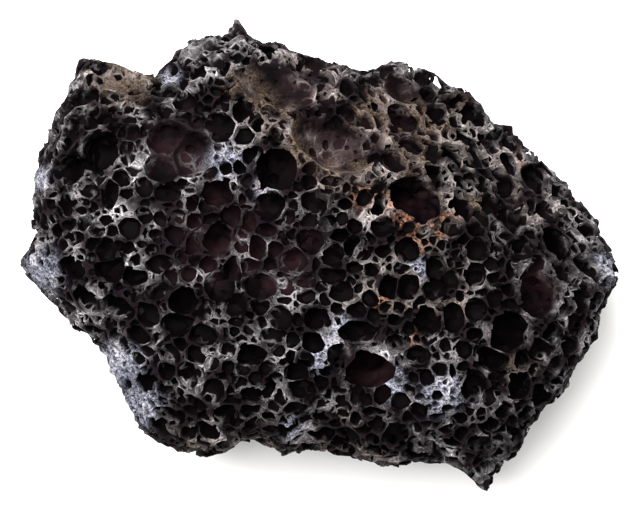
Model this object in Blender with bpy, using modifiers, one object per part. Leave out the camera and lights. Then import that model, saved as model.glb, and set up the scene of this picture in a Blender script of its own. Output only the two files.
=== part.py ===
"""A block of dark vesicular lava: one solid stone, pitted all over by burst gas bubbles, lying on its broad back.

The frame is in metres, +Z up and +X along the stone. The origin is the middle of its box, at the base.
The body is a ball pushed out to the stone's outline and heights, then raised or sunk in broad swells.
Every hollow is an ellipsoid cut into that body. Sizes and places below are in millimetres, seen from above.
"""

import math
import random

import bmesh
import bpy
import numpy as np
from mathutils import Matrix, Vector, noise
from mathutils.bvhtree import BVHTree

NAME = "lava_rock"
MM = 0.001

# Heights and roundness of the block.
WAIST_HEIGHT = 23.0  # the widest level, above the base
WAIST_SWAY = 5.0  # how far that level rises and falls around the stone
SWAY_WAVES = ((1, 0.6, -0.6), (2, 0.4, 1.0))  # its waves: (waves around the stone, share, phase)
CROWN_HEIGHT = 37.0  # from the waist up to the top
KEEL_DEPTH = 27.0  # from the waist down, if the underside were not broken off flat
CROWN_SQUARENESS = 3.4  # 2 is an ellipsoid, and higher values give a flatter top with steeper flanks
KEEL_SQUARENESS = 2.5
GENTLE_SQUARENESS = 2.3  # the back right flank runs down more gently than the others
GENTLE_HEADING = math.radians(48.0)
GENTLE_SPAN = math.radians(42.0)
OUTLINE_BLUR = math.radians(14.0)  # away from the waist the outline loses its small corners over this span
BLUR_STEPS = (-1.0, -0.5, 0.0, 0.5, 1.0)
BLUR_GROWTH = 1.2  # how fast the corners go with the direction's rise

# Flat broken faces: (heading and tilt of the face in degrees). A positive tilt looks up and a negative one down.
BREAKS = (
    (216, 13), (262, 12), (342, 12), (318, 9), (47, 36), (88, 15), (165, 14),
    (205, -30), (250, -36), (296, -27), (340, -38), (20, -25), (72, -42), (128, -30), (170, -42),
)
BREAK_CLEARANCE = 0.6  # a broken face passes the outline's farthest point this far out

# The outline at the waist, anticlockwise from the right: (x, y).
OUTLINE = (
    (65.2, 0.0), (62.4, 5.0), (61.5, 8.0), (58.0, 12.0), (55.0, 15.5), (51.0, 19.0), (46.5, 24.0),
    (43.5, 27.5), (42.0, 29.5), (39.5, 28.5), (36.5, 32.0), (33.5, 36.0), (32.0, 37.5), (29.5, 37.5),
    (26.5, 40.0), (20.0, 42.3), (16.0, 43.5), (11.0, 41.3), (6.5, 42.0), (2.0, 43.8), (-3.5, 44.8),
    (-9.0, 47.8), (-12.5, 47.5), (-16.0, 49.3), (-18.9, 53.4), (-21.0, 49.6), (-28.0, 48.3),
    (-31.5, 45.2), (-34.5, 41.5), (-37.5, 39.6), (-42.0, 41.3), (-48.0, 43.6), (-53.4, 45.0),
    (-55.0, 40.5), (-57.5, 33.0), (-60.5, 26.5), (-62.8, 22.5), (-63.2, 10.0), (-63.3, 3.5),
    (-66.3, -3.0), (-63.0, -7.5), (-60.5, -10.8), (-55.5, -15.2), (-50.5, -19.0), (-47.0, -23.0),
    (-45.0, -27.5), (-42.0, -33.0), (-40.0, -39.8), (-36.0, -42.2), (-31.5, -44.7), (-26.0, -45.6),
    (-21.5, -45.0), (-17.5, -41.9), (-14.0, -41.7), (-8.5, -45.2), (-3.0, -43.6), (3.0, -44.4),
    (8.5, -45.7), (13.0, -47.3), (17.5, -47.8), (20.5, -46.5), (27.0, -46.8), (31.0, -48.0),
    (37.0, -53.4), (40.0, -48.2), (44.5, -44.0), (46.0, -38.5), (49.5, -34.5), (53.5, -31.0),
    (56.0, -25.5), (59.0, -21.0), (61.2, -16.5), (63.0, -10.8), (66.0, -5.5),
)

# Broad swells of the crown: (x, y, reach, rise). A negative rise is a broad sunken area.
SWELLS = (
    (-14.0, 35.0, 6.0, 2.6), (-8.0, 27.5, 5.5, 2.6), (-1.0, 19.5, 5.5, 2.4), (8.0, 17.0, 5.5, 2.2),
    (14.0, 11.5, 5.5, 2.8), (19.0, 5.5, 5.0, 2.6), (27.0, 2.0, 5.0, 1.6), (-21.5, 5.0, 11.0, -4.0),
    (-9.0, -2.0, 9.0, -2.4), (-45.0, 39.0, 8.0, -6.0), (-35.0, 42.0, 5.5, -5.5), (-31.0, 22.0, 9.0, -2.2),
    (3.0, 33.0, 12.0, -3.2), (22.0, 33.0, 10.0, -3.6), (41.0, 21.0, 11.0, -3.0), (0.0, -24.0, 5.0, 2.0),
    (-1.0, -14.0, 5.0, 1.2), (13.0, -25.0, 6.0, -1.8), (25.0, -30.0, 6.0, 1.2), (-48.0, -5.0, 8.0, 1.2),
    (44.0, -12.0, 10.0, 1.6), (-20.0, 44.0, 6.0, 1.8), (-33.0, -30.0, 8.0, -1.6), (4.0, -40.0, 9.0, -2.0),
)
SWELL_GROWTH = 2.0  # how fast the swells reach their full rise from the waist upwards
LUMP_SIZE = 24.0
LUMP_HEIGHT = 2.4
CRAG_SIZE = 7.0
CRAG_HEIGHT = 1.1
FLANK_ROUGHNESS = 0.25  # the share of the lumps and crags that is left at the waist, where the outline rules
BODY_SUBDIVISIONS = 6
BODY_VOXEL = 1.4
BODY_TRIANGLES = 5200

# Hollows of the crown: (x, y, mouth along x, mouth along y, turn in degrees, depth).
DISHES = (
    (-44.4, 39.0, 13.5, 7.5, -12, 2.6), (-5.0, 37.0, 18.5, 12.0, -12, 5.0), (2.6, 23.5, 17.5, 11.5, -20, 6.0),
    (-31.0, 22.6, 14.5, 14.5, 0, 6.0), (19.0, 36.0, 11.5, 8.0, -8, 4.5), (18.5, 26.8, 10.0, 11.5, 0, 5.5),
    (47.3, -8.2, 10.0, 11.8, 0, 5.0), (-20.5, 5.5, 15.0, 9.0, -10, 3.0), (-9.5, -1.5, 12.0, 9.0, 15, 3.0),
    (10.5, -24.8, 13.0, 8.0, -15, 6.0), (12.5, -36.0, 10.5, 5.0, -10, 3.5), (58.0, -3.0, 7.5, 7.0, 0, 4.0),
)
HOLES = (
    (-47.7, 22.5, 8.2, 8.0, 0, 7.5), (-53.9, 18.0, 7.2, 5.8, 0, 6.0), (20.5, 12.4, 11.0, 10.6, 0, 9.0),
    (30.6, 10.4, 4.8, 8.6, 8, 7.5), (29.0, 22.0, 5.4, 7.6, -10, 6.5), (-9.3, 18.5, 7.8, 8.2, 0, 7.5),
    (40.2, -17.0, 8.2, 8.4, 0, 7.5), (36.9, -22.2, 6.2, 5.4, 0, 6.0), (-43.6, -11.7, 8.8, 5.4, -5, 5.5),
    (-54.0, -3.2, 7.6, 4.6, 0, 5.0), (51.3, 2.5, 6.0, 8.8, 20, 6.5), (-29.2, -9.6, 5.9, 5.4, 0, 6.0),
    (-33.0, -35.2, 7.6, 4.4, 10, 5.0), (42.7, -28.5, 5.2, 6.8, -15, 6.0), (33.0, -29.0, 5.2, 7.0, 0, 5.0),
    (-51.5, 35.2, 5.6, 5.8, 0, 5.5), (-26.5, 40.0, 4.9, 4.4, 0, 5.0), (-33.4, 35.5, 5.6, 5.8, 0, 5.0),
    (-54.4, 26.5, 4.8, 7.4, 0, 5.5), (-0.3, -14.0, 5.0, 4.8, 0, 5.5), (-1.7, -19.0, 4.6, 4.6, 0, 5.0),
    (-14.8, -21.6, 5.8, 4.2, 20, 5.0), (-5.3, -25.8, 5.0, 5.0, 0, 5.5), (41.2, 8.3, 5.2, 8.6, 0, 5.5),
    (36.3, 11.0, 4.6, 6.0, 0, 4.5), (36.0, 26.0, 3.6, 5.0, 0, 4.5), (47.5, 17.0, 7.2, 8.4, 25, 5.5),
    (54.0, 14.6, 5.0, 4.2, -30, 4.0), (56.1, -10.4, 4.8, 5.0, 0, 5.0), (50.0, -17.5, 4.6, 5.4, 0, 5.0),
    (47.5, -21.0, 5.8, 5.0, 0, 4.5), (28.2, -14.0, 4.6, 6.2, 0, 5.0), (16.5, -39.6, 5.8, 6.2, 0, 5.0),
    (22.2, -44.0, 8.0, 3.8, 0, 4.0), (-8.6, -38.4, 7.8, 5.0, 0, 5.0), (43.1, -40.2, 4.6, 6.4, -10, 5.0),
    (36.0, -37.2, 4.8, 3.8, 0, 4.5), (-25.2, -17.3, 7.6, 4.8, 25, 5.0), (-30.5, -15.3, 6.8, 4.8, 0, 4.5),
    (-22.0, 28.0, 6.6, 5.8, 0, 5.0), (-16.9, 43.7, 5.8, 4.2, 0, 4.0), (-40.0, -1.0, 5.6, 4.8, 30, 4.5),
    (-39.0, -5.4, 6.4, 3.6, -15, 4.5), (-46.2, 32.5, 4.6, 4.6, 0, 4.0), (42.8, 1.4, 6.0, 4.6, 0, 4.0),
    (8.2, -16.9, 9.6, 5.0, 0, 5.0), (-14.0, -8.0, 6.6, 5.6, 0, 4.0), (24.6, 31.5, 4.5, 5.4, 0, 4.0),
    (-54.5, 11.3, 4.4, 6.4, 0, 4.0), (-45.0, 13.3, 4.2, 7.6, -10, 4.0), (-48.8, 2.4, 4.0, 3.8, 0, 4.0),
    (-37.8, 10.0, 4.6, 4.4, 0, 4.0), (-41.3, 26.5, 5.0, 4.2, 0, 4.0), (-37.0, 30.6, 5.2, 3.8, 0, 3.5),
    (-17.2, 19.5, 4.6, 4.2, 0, 4.5), (-11.0, 10.8, 6.0, 5.0, 0, 4.5), (-1.2, 11.3, 5.8, 4.8, 0, 4.5),
    (4.0, 4.2, 5.2, 4.0, 0, 4.0), (24.5, -4.5, 4.8, 6.2, 0, 4.5), (33.0, -4.0, 4.4, 5.0, 0, 4.0),
    (33.0, -11.2, 5.0, 5.0, 0, 4.5), (1.2, -5.0, 6.0, 4.0, 0, 4.0), (-12.0, -15.5, 5.8, 4.4, 0, 4.0),
    (-28.6, -25.5, 5.0, 6.8, 0, 4.5), (-2.6, -31.5, 6.0, 5.0, 0, 4.0), (19.0, -20.8, 5.6, 4.8, 0, 4.5),
    (27.5, -20.5, 4.4, 5.2, 0, 4.0), (24.5, -37.4, 6.4, 4.2, 0, 4.0), (2.5, -38.5, 5.6, 4.6, 0, 4.0),
    (-18.5, -35.0, 6.0, 4.4, 0, 3.5), (31.0, -41.5, 6.2, 4.4, 0, 4.0), (-21.5, 35.8, 4.8, 4.4, 0, 4.0),
)
DISH_SUNK = -0.45  # how far a bubble's middle lies under the surface, as a share of its own half height
HOLE_SUNK = 0.15
AXIS_LEAN = 0.6  # how far a hollow's axis leans from the vertical towards the surface it opens in

# Burst bubbles scattered over the rest of the surface: (mouth width, tries), the widest first.
BUBBLES = ((12.0, 60), (8.5, 200), (6.0, 500), (4.8, 400))
LARGEST_CROWN_BUBBLE = 7.0  # the wide hollows of the crown are all listed above
BUBBLE_SPREAD = (0.8, 1.15)  # the widths of scattered bubbles around their listed one
BUBBLE_DEPTH = (0.4, 0.6)  # their depths, as a share of their width
BUBBLE_FLATNESS = (0.7, 1.0)  # their second width, as a share of the first
BUBBLE_CROWDING = 0.98  # closest spacing, as a share of the two half widths together
RESTING_CLEARANCE = 7.0  # the flat base stays whole out to this far from its middle
BASE_SLACK = 0.1  # what lies lower than this is part of the flat base
OUTSIDE = 200.0  # a distance that is outside the stone in every direction
SEED = 7

HOLLOW_DETAIL = 2
LARGE_HOLLOW_DETAIL = 3
LARGE_HOLLOW = 9.0  # a mouth wider than this gets the finer ball
WELD = 0.005
TRIANGLE_LIMIT = 9600

STONE_COLOUR = (0.022, 0.018, 0.020, 1.0)
STONE_ROUGHNESS = 0.72


def clear_scene():
    """Remove every object of the open file."""
    for thing in list(bpy.data.objects):
        bpy.data.objects.remove(thing, do_unlink=True)


def new_collection(name):
    """Add a collection to the scene and return it."""
    collection = bpy.data.collections.new(name)
    bpy.context.scene.collection.children.link(collection)
    return collection


def object_from_bmesh(name, shape, collection):
    """Turn a bmesh into a named object of a collection."""
    mesh = bpy.data.meshes.new(name)
    shape.to_mesh(mesh)
    shape.free()
    thing = bpy.data.objects.new(name, mesh)
    collection.objects.link(thing)
    return thing


def stone_material():
    """Return the dark glassy basalt of the whole stone."""
    material = bpy.data.materials.new("vesicular_basalt")
    material.use_nodes = True
    shader = material.node_tree.nodes["Principled BSDF"]
    shader.inputs["Base Color"].default_value = STONE_COLOUR
    shader.inputs["Roughness"].default_value = STONE_ROUGHNESS
    shader.inputs["Metallic"].default_value = 0.0
    material.diffuse_color = STONE_COLOUR
    return material


def outline_reach(heading):
    """Return the distance from the middle to the outline along a heading in radians."""
    headings = [math.atan2(y, x) for x, y in OUTLINE]
    reaches = [math.hypot(x, y) for x, y in OUTLINE]
    return float(np.interp(heading, headings, reaches, period=math.tau))


def blurred_reach(heading):
    """Return the outline's distance averaged over the span around a heading."""
    return sum(outline_reach(heading + OUTLINE_BLUR * step) for step in BLUR_STEPS) / len(BLUR_STEPS)


def waist_sway(heading):
    """Return how far the widest level lies over its mean height along a heading."""
    return WAIST_SWAY * sum(share * math.sin(waves * heading + phase) for waves, share, phase in SWAY_WAVES)


def crown_squareness(heading):
    """Return how square the crown's profile is along a heading, lower on the gentle flank."""
    offset = (heading - GENTLE_HEADING + math.pi) % math.tau - math.pi
    gentle = math.exp(-(offset / GENTLE_SPAN) ** 2)
    return CROWN_SQUARENESS + (GENTLE_SQUARENESS - CROWN_SQUARENESS) * gentle


def body_point(direction):
    """Return where a unit direction from the middle of the body meets the stone's smooth body."""
    heading = math.atan2(direction.y, direction.x)
    level = math.hypot(direction.x, direction.y)
    if direction.z > 0.0:
        height = CROWN_HEIGHT
        squareness = crown_squareness(heading)
    else:
        height = KEEL_DEPTH
        squareness = KEEL_SQUARENESS
    stretch = (level ** squareness + abs(direction.z) ** squareness) ** (-1.0 / squareness)
    blur = min(1.0, BLUR_GROWTH * abs(direction.z))
    outline = outline_reach(heading)
    reach = level * stretch * (outline + blur * (min(outline, blurred_reach(heading)) - outline))
    sway = waist_sway(heading) * (1.0 - abs(direction.z))
    return Vector((
        reach * math.cos(heading),
        reach * math.sin(heading),
        WAIST_HEIGHT + sway + direction.z * stretch * height,
    ))


def swell_rise(point):
    """Return how far the crown's broad swells lift a point of the body."""
    rise = 0.0
    for x, y, reach, height in SWELLS:
        distance = math.hypot(point.x - x, point.y - y) / reach
        rise += height * math.exp(-distance * distance)
    return rise


def roughened(point, direction):
    """Return a body point moved by the swells, the lumps and the crags."""
    upward = max(0.0, direction.z)
    lump = LUMP_HEIGHT * noise.noise(point / LUMP_SIZE)
    crag = CRAG_HEIGHT * noise.noise(point / CRAG_SIZE)
    roughness = FLANK_ROUGHNESS + (1.0 - FLANK_ROUGHNESS) * abs(direction.z)
    lifted = Vector((0.0, 0.0, swell_rise(point) * min(1.0, SWELL_GROWTH * upward)))
    return point + lifted + direction * ((lump + crag) * roughness)


def break_off(shape, place, normal):
    """Break a bmesh off flat at a plane, on the side that the normal points to."""
    every_part = shape.verts[:] + shape.edges[:] + shape.faces[:]
    cut = bmesh.ops.bisect_plane(shape, geom=every_part, plane_co=place, plane_no=normal, clear_outer=True)
    rim = [piece for piece in cut["geom_cut"] if isinstance(piece, bmesh.types.BMEdge)]
    if rim:
        bmesh.ops.holes_fill(shape, edges=rim)
        bmesh.ops.triangulate(shape, faces=[face for face in shape.faces if len(face.verts) > 3])


def make_body(collection):
    """Make the stone's body with its broken faces and its flat base, and with no hollows yet."""
    shape = bmesh.new()
    bmesh.ops.create_icosphere(shape, subdivisions=BODY_SUBDIVISIONS, radius=MM)
    for vertex in shape.verts:
        vertex.co = body_point(vertex.co.normalized()) * MM
    for heading, tilt in BREAKS:
        away = Vector((math.cos(math.radians(heading)), math.sin(math.radians(heading)), 0.0))
        normal = away * math.cos(math.radians(tilt)) + Vector((0.0, 0.0, math.sin(math.radians(tilt))))
        distance = max(x * away.x + y * away.y for x, y in OUTLINE) + BREAK_CLEARANCE
        break_off(shape, (away * distance + Vector((0.0, 0.0, WAIST_HEIGHT))) * MM, normal)
    body = object_from_bmesh(NAME, shape, collection)
    even = body.modifiers.new("even_mesh", "REMESH")
    even.mode = "VOXEL"
    even.voxel_size = BODY_VOXEL * MM
    apply_modifier(body, even)
    roughen_body(body)
    limit_triangles(body, BODY_TRIANGLES)
    shape = bmesh.new()
    shape.from_mesh(body.data)
    break_off(shape, (0.0, 0.0, 0.0), (0.0, 0.0, -1.0))
    shape.to_mesh(body.data)
    shape.free()
    return body


def roughen_body(body):
    """Add the swells, the lumps and the crags to an evenly meshed body."""
    middle = Vector((0.0, 0.0, WAIST_HEIGHT))
    for vertex in body.data.vertices:
        point = vertex.co / MM
        direction = (point - middle).normalized()
        vertex.co = roughened(point, direction) * MM


def hollow_placement(spot, axis, widths, turn, depth, sunk):
    """Return the matrix that turns a unit ball into one hollow of the surface.

    The mouth has the two widths where the ball meets the surface, and the ball reaches to the depth below it.
    """
    half_height = depth / (1.0 + sunk)
    mouth_share = math.sqrt(1.0 - sunk * sunk)
    size = Vector((widths[0] / 2 / mouth_share, widths[1] / 2 / mouth_share, half_height)) * MM
    sideways = Vector((math.cos(turn), math.sin(turn), 0.0))
    sideways = (sideways - axis * sideways.dot(axis)).normalized()
    turned = Matrix((sideways, axis.cross(sideways), axis)).transposed().to_4x4()
    middle = (spot - axis * (half_height * sunk)) * MM
    return Matrix.Translation(middle) @ turned @ Matrix.Diagonal((size.x, size.y, size.z, 1.0))


class Hollow:
    """One hollow of the surface: where it opens, how wide, and the matrix that makes its ball."""

    def __init__(self, spot, width, placed):
        self.spot = spot
        self.width = width
        self.placed = placed


def listed_hollows(tree):
    """Return the listed hollows of the crown."""
    hollows = []
    down = Vector((0.0, 0.0, -1.0))
    for table, sunk in ((DISHES, DISH_SUNK), (HOLES, HOLE_SUNK)):
        for x, y, width_x, width_y, turn, depth in table:
            spot, normal, _, _ = tree.ray_cast(Vector((x, y, OUTSIDE)), down)
            axis = (-down).lerp(normal, AXIS_LEAN).normalized()
            placed = hollow_placement(spot, axis, (width_x, width_y), math.radians(turn), depth, sunk)
            hollows.append(Hollow(spot, max(width_x, width_y), placed))
    return hollows


def scattered_hollows(tree, listed):
    """Return bubbles scattered over the whole surface, clear of the listed hollows and of each other."""
    dice = random.Random(SEED)
    middle = Vector((0.0, 0.0, WAIST_HEIGHT))
    scattered = []
    for width, tries in BUBBLES:
        for _ in range(tries):
            z = dice.uniform(-1.0, 1.0)
            heading = dice.uniform(0.0, math.tau)
            level = math.sqrt(1.0 - z * z)
            ray = Vector((level * math.cos(heading), level * math.sin(heading), z))
            size = width * dice.uniform(*BUBBLE_SPREAD)
            depth = size * dice.uniform(*BUBBLE_DEPTH)
            widths = (size, size * dice.uniform(*BUBBLE_FLATNESS))
            turn = dice.uniform(0.0, math.tau)
            spot, normal, _, _ = tree.ray_cast(middle + ray * OUTSIDE, -ray)
            too_wide = spot.z > middle.z + CROWN_HEIGHT / 2 and size > LARGEST_CROWN_BUBBLE
            on_base = spot.z < BASE_SLACK and math.hypot(spot.x, spot.y) < RESTING_CLEARANCE + size
            if too_wide or on_base or is_crowded(spot, size, listed + scattered):
                continue
            placed = hollow_placement(spot, normal, widths, turn, depth, HOLE_SUNK)
            scattered.append(Hollow(spot, size, placed))
    return scattered


def is_crowded(spot, width, hollows):
    """Say whether a new mouth of a width would run into one of the hollows."""
    return any((spot - other.spot).length < BUBBLE_CROWDING * (width + other.width) / 2 for other in hollows)


def make_cutter(name, hollows, collection):
    """Make one cutter object from the balls of a list of hollows."""
    shape = bmesh.new()
    for hollow in hollows:
        detail = LARGE_HOLLOW_DETAIL if hollow.width > LARGE_HOLLOW else HOLLOW_DETAIL
        bmesh.ops.create_icosphere(shape, subdivisions=detail, radius=1.0, matrix=hollow.placed)
    cutter = object_from_bmesh(name, shape, collection)
    cutter.hide_render = True
    cutter.display_type = "WIRE"
    return cutter


def cut_away(stone, cutter):
    """Cut a cutter's hollows out of the stone and apply the cut."""
    boolean = stone.modifiers.new(cutter.name, "BOOLEAN")
    boolean.operation = "DIFFERENCE"
    boolean.solver = "EXACT"
    boolean.use_self = True
    boolean.object = cutter
    apply_modifier(stone, boolean)


def apply_modifier(thing, modifier):
    """Apply one modifier of an object."""
    bpy.ops.object.select_all(action="DESELECT")
    thing.select_set(True)
    bpy.context.view_layer.objects.active = thing
    bpy.ops.object.modifier_apply(modifier=modifier.name)


def islands(shape):
    """Return the separate closed surfaces of a bmesh, as lists of vertices."""
    unseen = set(shape.verts)
    found = []
    while unseen:
        start = unseen.pop()
        island = [start]
        waiting = [start]
        while waiting:
            for edge in waiting.pop().link_edges:
                for vertex in edge.verts:
                    if vertex in unseen:
                        unseen.remove(vertex)
                        island.append(vertex)
                        waiting.append(vertex)
        found.append(island)
    return found


def keep_one_stone(stone):
    """Keep the stone itself, without crumbs that the hollows cut loose, and centre it over its base."""
    shape = bmesh.new()
    shape.from_mesh(stone.data)
    bmesh.ops.remove_doubles(shape, verts=shape.verts[:], dist=WELD * MM)
    bmesh.ops.triangulate(shape, faces=shape.faces[:])
    pieces = sorted(islands(shape), key=len)
    for crumb in pieces[:-1]:
        bmesh.ops.delete(shape, geom=crumb, context="VERTS")
    x_values = [vertex.co.x for vertex in shape.verts]
    y_values = [vertex.co.y for vertex in shape.verts]
    centre = Vector(((max(x_values) + min(x_values)) / 2, (max(y_values) + min(y_values)) / 2, 0.0))
    bmesh.ops.translate(shape, verts=shape.verts[:], vec=-centre)
    shape.to_mesh(stone.data)
    shape.free()


def limit_triangles(thing, limit):
    """Thin an object's mesh down to a number of triangles."""
    count = sum(len(face.vertices) - 2 for face in thing.data.polygons)
    if count > limit:
        thin = thing.modifiers.new("thin_mesh", "DECIMATE")
        thin.ratio = limit / count
        apply_modifier(thing, thin)


def flatten_base(stone):
    """Set the vertices of the base level, at height zero."""
    for vertex in stone.data.vertices:
        if vertex.co.z < BASE_SLACK * MM:
            vertex.co.z = 0.0


def main():
    """Build the stone."""
    clear_scene()
    stone_collection = new_collection(NAME)
    cutter_collection = new_collection("hollow_cutters")
    stone = make_body(stone_collection)
    tree = BVHTree.FromPolygons(
        [vertex.co / MM for vertex in stone.data.vertices],
        [tuple(face.vertices) for face in stone.data.polygons],
    )
    listed = listed_hollows(tree)
    scattered = scattered_hollows(tree, listed)
    cut_away(stone, make_cutter("scattered_bubbles", scattered, cutter_collection))
    cut_away(stone, make_cutter("crown_hollows", listed, cutter_collection))
    keep_one_stone(stone)
    limit_triangles(stone, TRIANGLE_LIMIT)
    flatten_base(stone)
    stone.data.materials.clear()
    stone.data.materials.append(stone_material())


main()
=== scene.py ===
"""A block of dark vesicular lava on a pale floor, seen from straight above.

The block is one mesh. Its body is a ball pushed out to the stone's outline and heights and broken off
along flat faces. Gas bubbles are then packed around that body's surface, each one flattened against its
neighbours so that a thin wall of rock stays between them, and all of them are cut away. What is left of the
old surface is the network of wall tops. Lengths and places are in millimetres unless a name says otherwise.
"""

import logging
import math
from collections.abc import Callable, Iterable
from dataclasses import dataclass, field
from enum import Enum
from functools import cached_property

import bmesh
import bpy
import numpy as np
from mathutils import Matrix, Vector, noise
from mathutils.bvhtree import BVHTree
from mathutils.kdtree import KDTree


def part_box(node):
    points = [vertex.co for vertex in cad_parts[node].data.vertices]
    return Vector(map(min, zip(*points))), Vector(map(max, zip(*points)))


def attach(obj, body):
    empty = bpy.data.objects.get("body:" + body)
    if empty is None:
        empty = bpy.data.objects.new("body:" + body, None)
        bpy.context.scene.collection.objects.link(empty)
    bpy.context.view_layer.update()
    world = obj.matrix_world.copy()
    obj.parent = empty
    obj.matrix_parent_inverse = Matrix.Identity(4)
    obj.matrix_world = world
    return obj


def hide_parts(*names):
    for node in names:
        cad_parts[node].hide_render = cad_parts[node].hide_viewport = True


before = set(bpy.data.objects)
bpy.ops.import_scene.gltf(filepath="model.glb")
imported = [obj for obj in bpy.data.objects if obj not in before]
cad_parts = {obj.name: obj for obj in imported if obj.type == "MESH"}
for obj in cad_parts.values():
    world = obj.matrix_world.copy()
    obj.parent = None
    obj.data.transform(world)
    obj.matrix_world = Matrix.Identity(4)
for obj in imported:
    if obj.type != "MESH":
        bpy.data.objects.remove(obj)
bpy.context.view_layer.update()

LOG = logging.getLogger("lava_rock_scene")
MM = 0.001
NODE = "lava_rock"
DOWN = Vector((0.0, 0.0, -1.0))
UP = Vector((0.0, 0.0, 1.0))
SKY = 500.0
TINY = 1e-12
# Random places are only taken above this height, off the resting face.
BASE_MARGIN = 1.0

# The outline at the waist, anticlockwise from the right: (x, y).
OUTLINE = (
    (65.2, 0.0), (62.4, 5.0), (61.5, 8.0), (58.0, 12.0), (55.0, 15.5), (51.0, 19.0), (46.5, 24.0),
    (43.5, 27.5), (42.0, 29.5), (39.5, 28.5), (36.5, 32.0), (33.5, 36.0), (32.0, 37.5), (29.5, 37.5),
    (26.5, 40.0), (20.0, 42.3), (16.0, 43.5), (11.0, 41.3), (6.5, 42.0), (2.0, 43.8), (-3.5, 44.8),
    (-9.0, 47.8), (-12.5, 47.5), (-16.0, 49.3), (-18.9, 54.6), (-21.0, 49.6), (-28.0, 48.3),
    (-31.5, 45.2), (-34.5, 41.5), (-37.5, 39.6), (-42.0, 41.3), (-48.0, 43.6), (-53.4, 45.0),
    (-55.0, 40.5), (-57.5, 33.0), (-60.5, 26.5), (-62.8, 22.5), (-63.2, 10.0), (-63.3, 3.5),
    (-67.3, -3.0), (-63.0, -7.5), (-60.5, -10.8), (-55.5, -15.2), (-50.5, -19.0), (-47.0, -23.0),
    (-45.0, -27.5), (-42.0, -33.0), (-40.0, -39.8), (-36.0, -42.2), (-31.5, -44.7), (-26.0, -45.6),
    (-21.5, -45.0), (-17.5, -41.9), (-14.0, -41.7), (-8.5, -45.2), (-3.0, -43.6), (3.0, -44.4),
    (8.5, -45.7), (13.0, -47.3), (17.5, -47.8), (20.5, -46.5), (27.0, -46.8), (31.0, -48.0),
    (37.0, -54.4), (40.0, -48.2), (44.5, -44.0), (46.0, -38.5), (49.5, -34.5), (53.5, -31.0),
    (56.0, -25.5), (59.0, -21.0), (61.2, -16.5), (63.0, -10.8), (67.0, -5.5),
)

# Flat broken faces: (heading and tilt of the face in degrees). A positive tilt looks up, a negative one down.
BREAKS = (
    (216, 13), (262, 12), (342, 12), (318, 9), (47, 36), (88, 15), (165, 14),
    (205, -30), (250, -36), (296, -27), (340, -38), (20, -25), (72, -42), (128, -30), (170, -42),
)

# Broad swells of the crown: (x, y, reach, rise). A negative rise is a broad sunken area.
SWELLS = (
    (-14.0, 35.0, 6.0, 2.6), (-8.0, 27.5, 5.5, 2.6), (-1.0, 19.5, 5.5, 2.4), (8.0, 17.0, 5.5, 2.2),
    (14.0, 11.5, 5.5, 2.8), (19.0, 5.5, 5.0, 2.6), (27.0, 2.0, 5.0, 1.6), (-21.5, 5.0, 11.0, -4.0),
    (-9.0, -2.0, 9.0, -2.4), (-45.0, 39.0, 8.0, -6.0), (-35.0, 42.0, 5.5, -5.5), (-31.0, 22.0, 9.0, -2.2),
    (3.0, 33.0, 12.0, -3.2), (22.0, 33.0, 10.0, -3.6), (41.0, 21.0, 11.0, -3.0), (0.0, -24.0, 5.0, 2.0),
    (-1.0, -14.0, 5.0, 1.2), (13.0, -25.0, 6.0, -1.8), (25.0, -30.0, 6.0, 1.2), (-48.0, -5.0, 8.0, 1.2),
    (44.0, -12.0, 10.0, 1.6), (-20.0, 44.0, 6.0, 1.8), (-33.0, -30.0, 8.0, -1.6), (4.0, -40.0, 9.0, -2.0),
)

# Wide scooped hollows of the crown: (x, y, mouth along x, mouth along y, turn in degrees, depth).
DISHES = (
    (-44.4, 39.0, 13.5, 7.5, -12, 2.6), (-8.0, 37.0, 19.5, 13.0, -12, 4.5), (2.4, 24.0, 18.5, 13.0, -18, 6.0),
    (-33.0, 25.0, 9.5, 9.0, 0, 4.0), (-28.5, 21.5, 9.5, 10.0, 0, 4.5), (-34.0, 19.0, 8.0, 7.0, 0, 3.5),
    (18.5, 37.2, 9.0, 7.6, 0, 3.4),
)

# The widest cells of the crown. These ones are deep.
DEEP_BROAD_CELLS = (
    (20.5, 12.3, 11.0, 10.6), (40.3, -16.9, 7.9, 8.4), (37.0, -22.2, 6.2, 5.3), (10.6, -24.6, 12.8, 7.5),
    (-47.7, 22.4, 7.9, 7.9), (-53.9, 18.0, 7.0, 5.7), (-9.2, 18.5, 7.9, 8.4), (51.3, 2.4, 6.6, 8.8),
    (30.6, 10.3, 4.8, 8.4), (29.0, 22.0, 5.3, 7.5), (42.7, -28.8, 4.8, 6.6), (22.0, -44.0, 8.4, 3.5),
    (-33.0, -35.2, 7.5, 4.4),
)
# The widest cells of the crown.
BROAD_CELLS = (
    (17.6, 30.2, 9.0, 6.2), (25.4, 31.4, 4.6, 5.6), (19.6, 23.9, 5.6, 6.0), (25.2, 26.4, 3.8, 4.2),
    (12.1, 32.8, 2.4, 4.6), (47.3, -8.1, 9.7, 11.4), (46.2, -3.1, 5.7, 4.8),
    (7.9, -16.9, 9.7, 4.8), (-43.6, -11.7, 8.8, 5.3), (58.7, -2.6, 7.5, 6.6), (47.3, 16.7, 7.0, 8.4),
    (41.1, 8.1, 5.3, 8.4), (33.0, -28.8, 5.3, 7.0), (16.5, -39.6, 5.7, 6.2), (-8.6, -38.3, 7.9, 4.4),
    (-30.8, -15.2, 7.9, 4.8),
)
# Cells of the crown's back left part. These ones are deep.
DEEP_BACK_LEFT_CELLS = (
    (-26.6, 40.0, 4.4, 4.0), (-20.7, 40.5, 3.1, 3.1), (-48.8, 2.4, 3.1, 3.1), (-62.3, 1.8, 3.1, 4.4),
)
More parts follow.
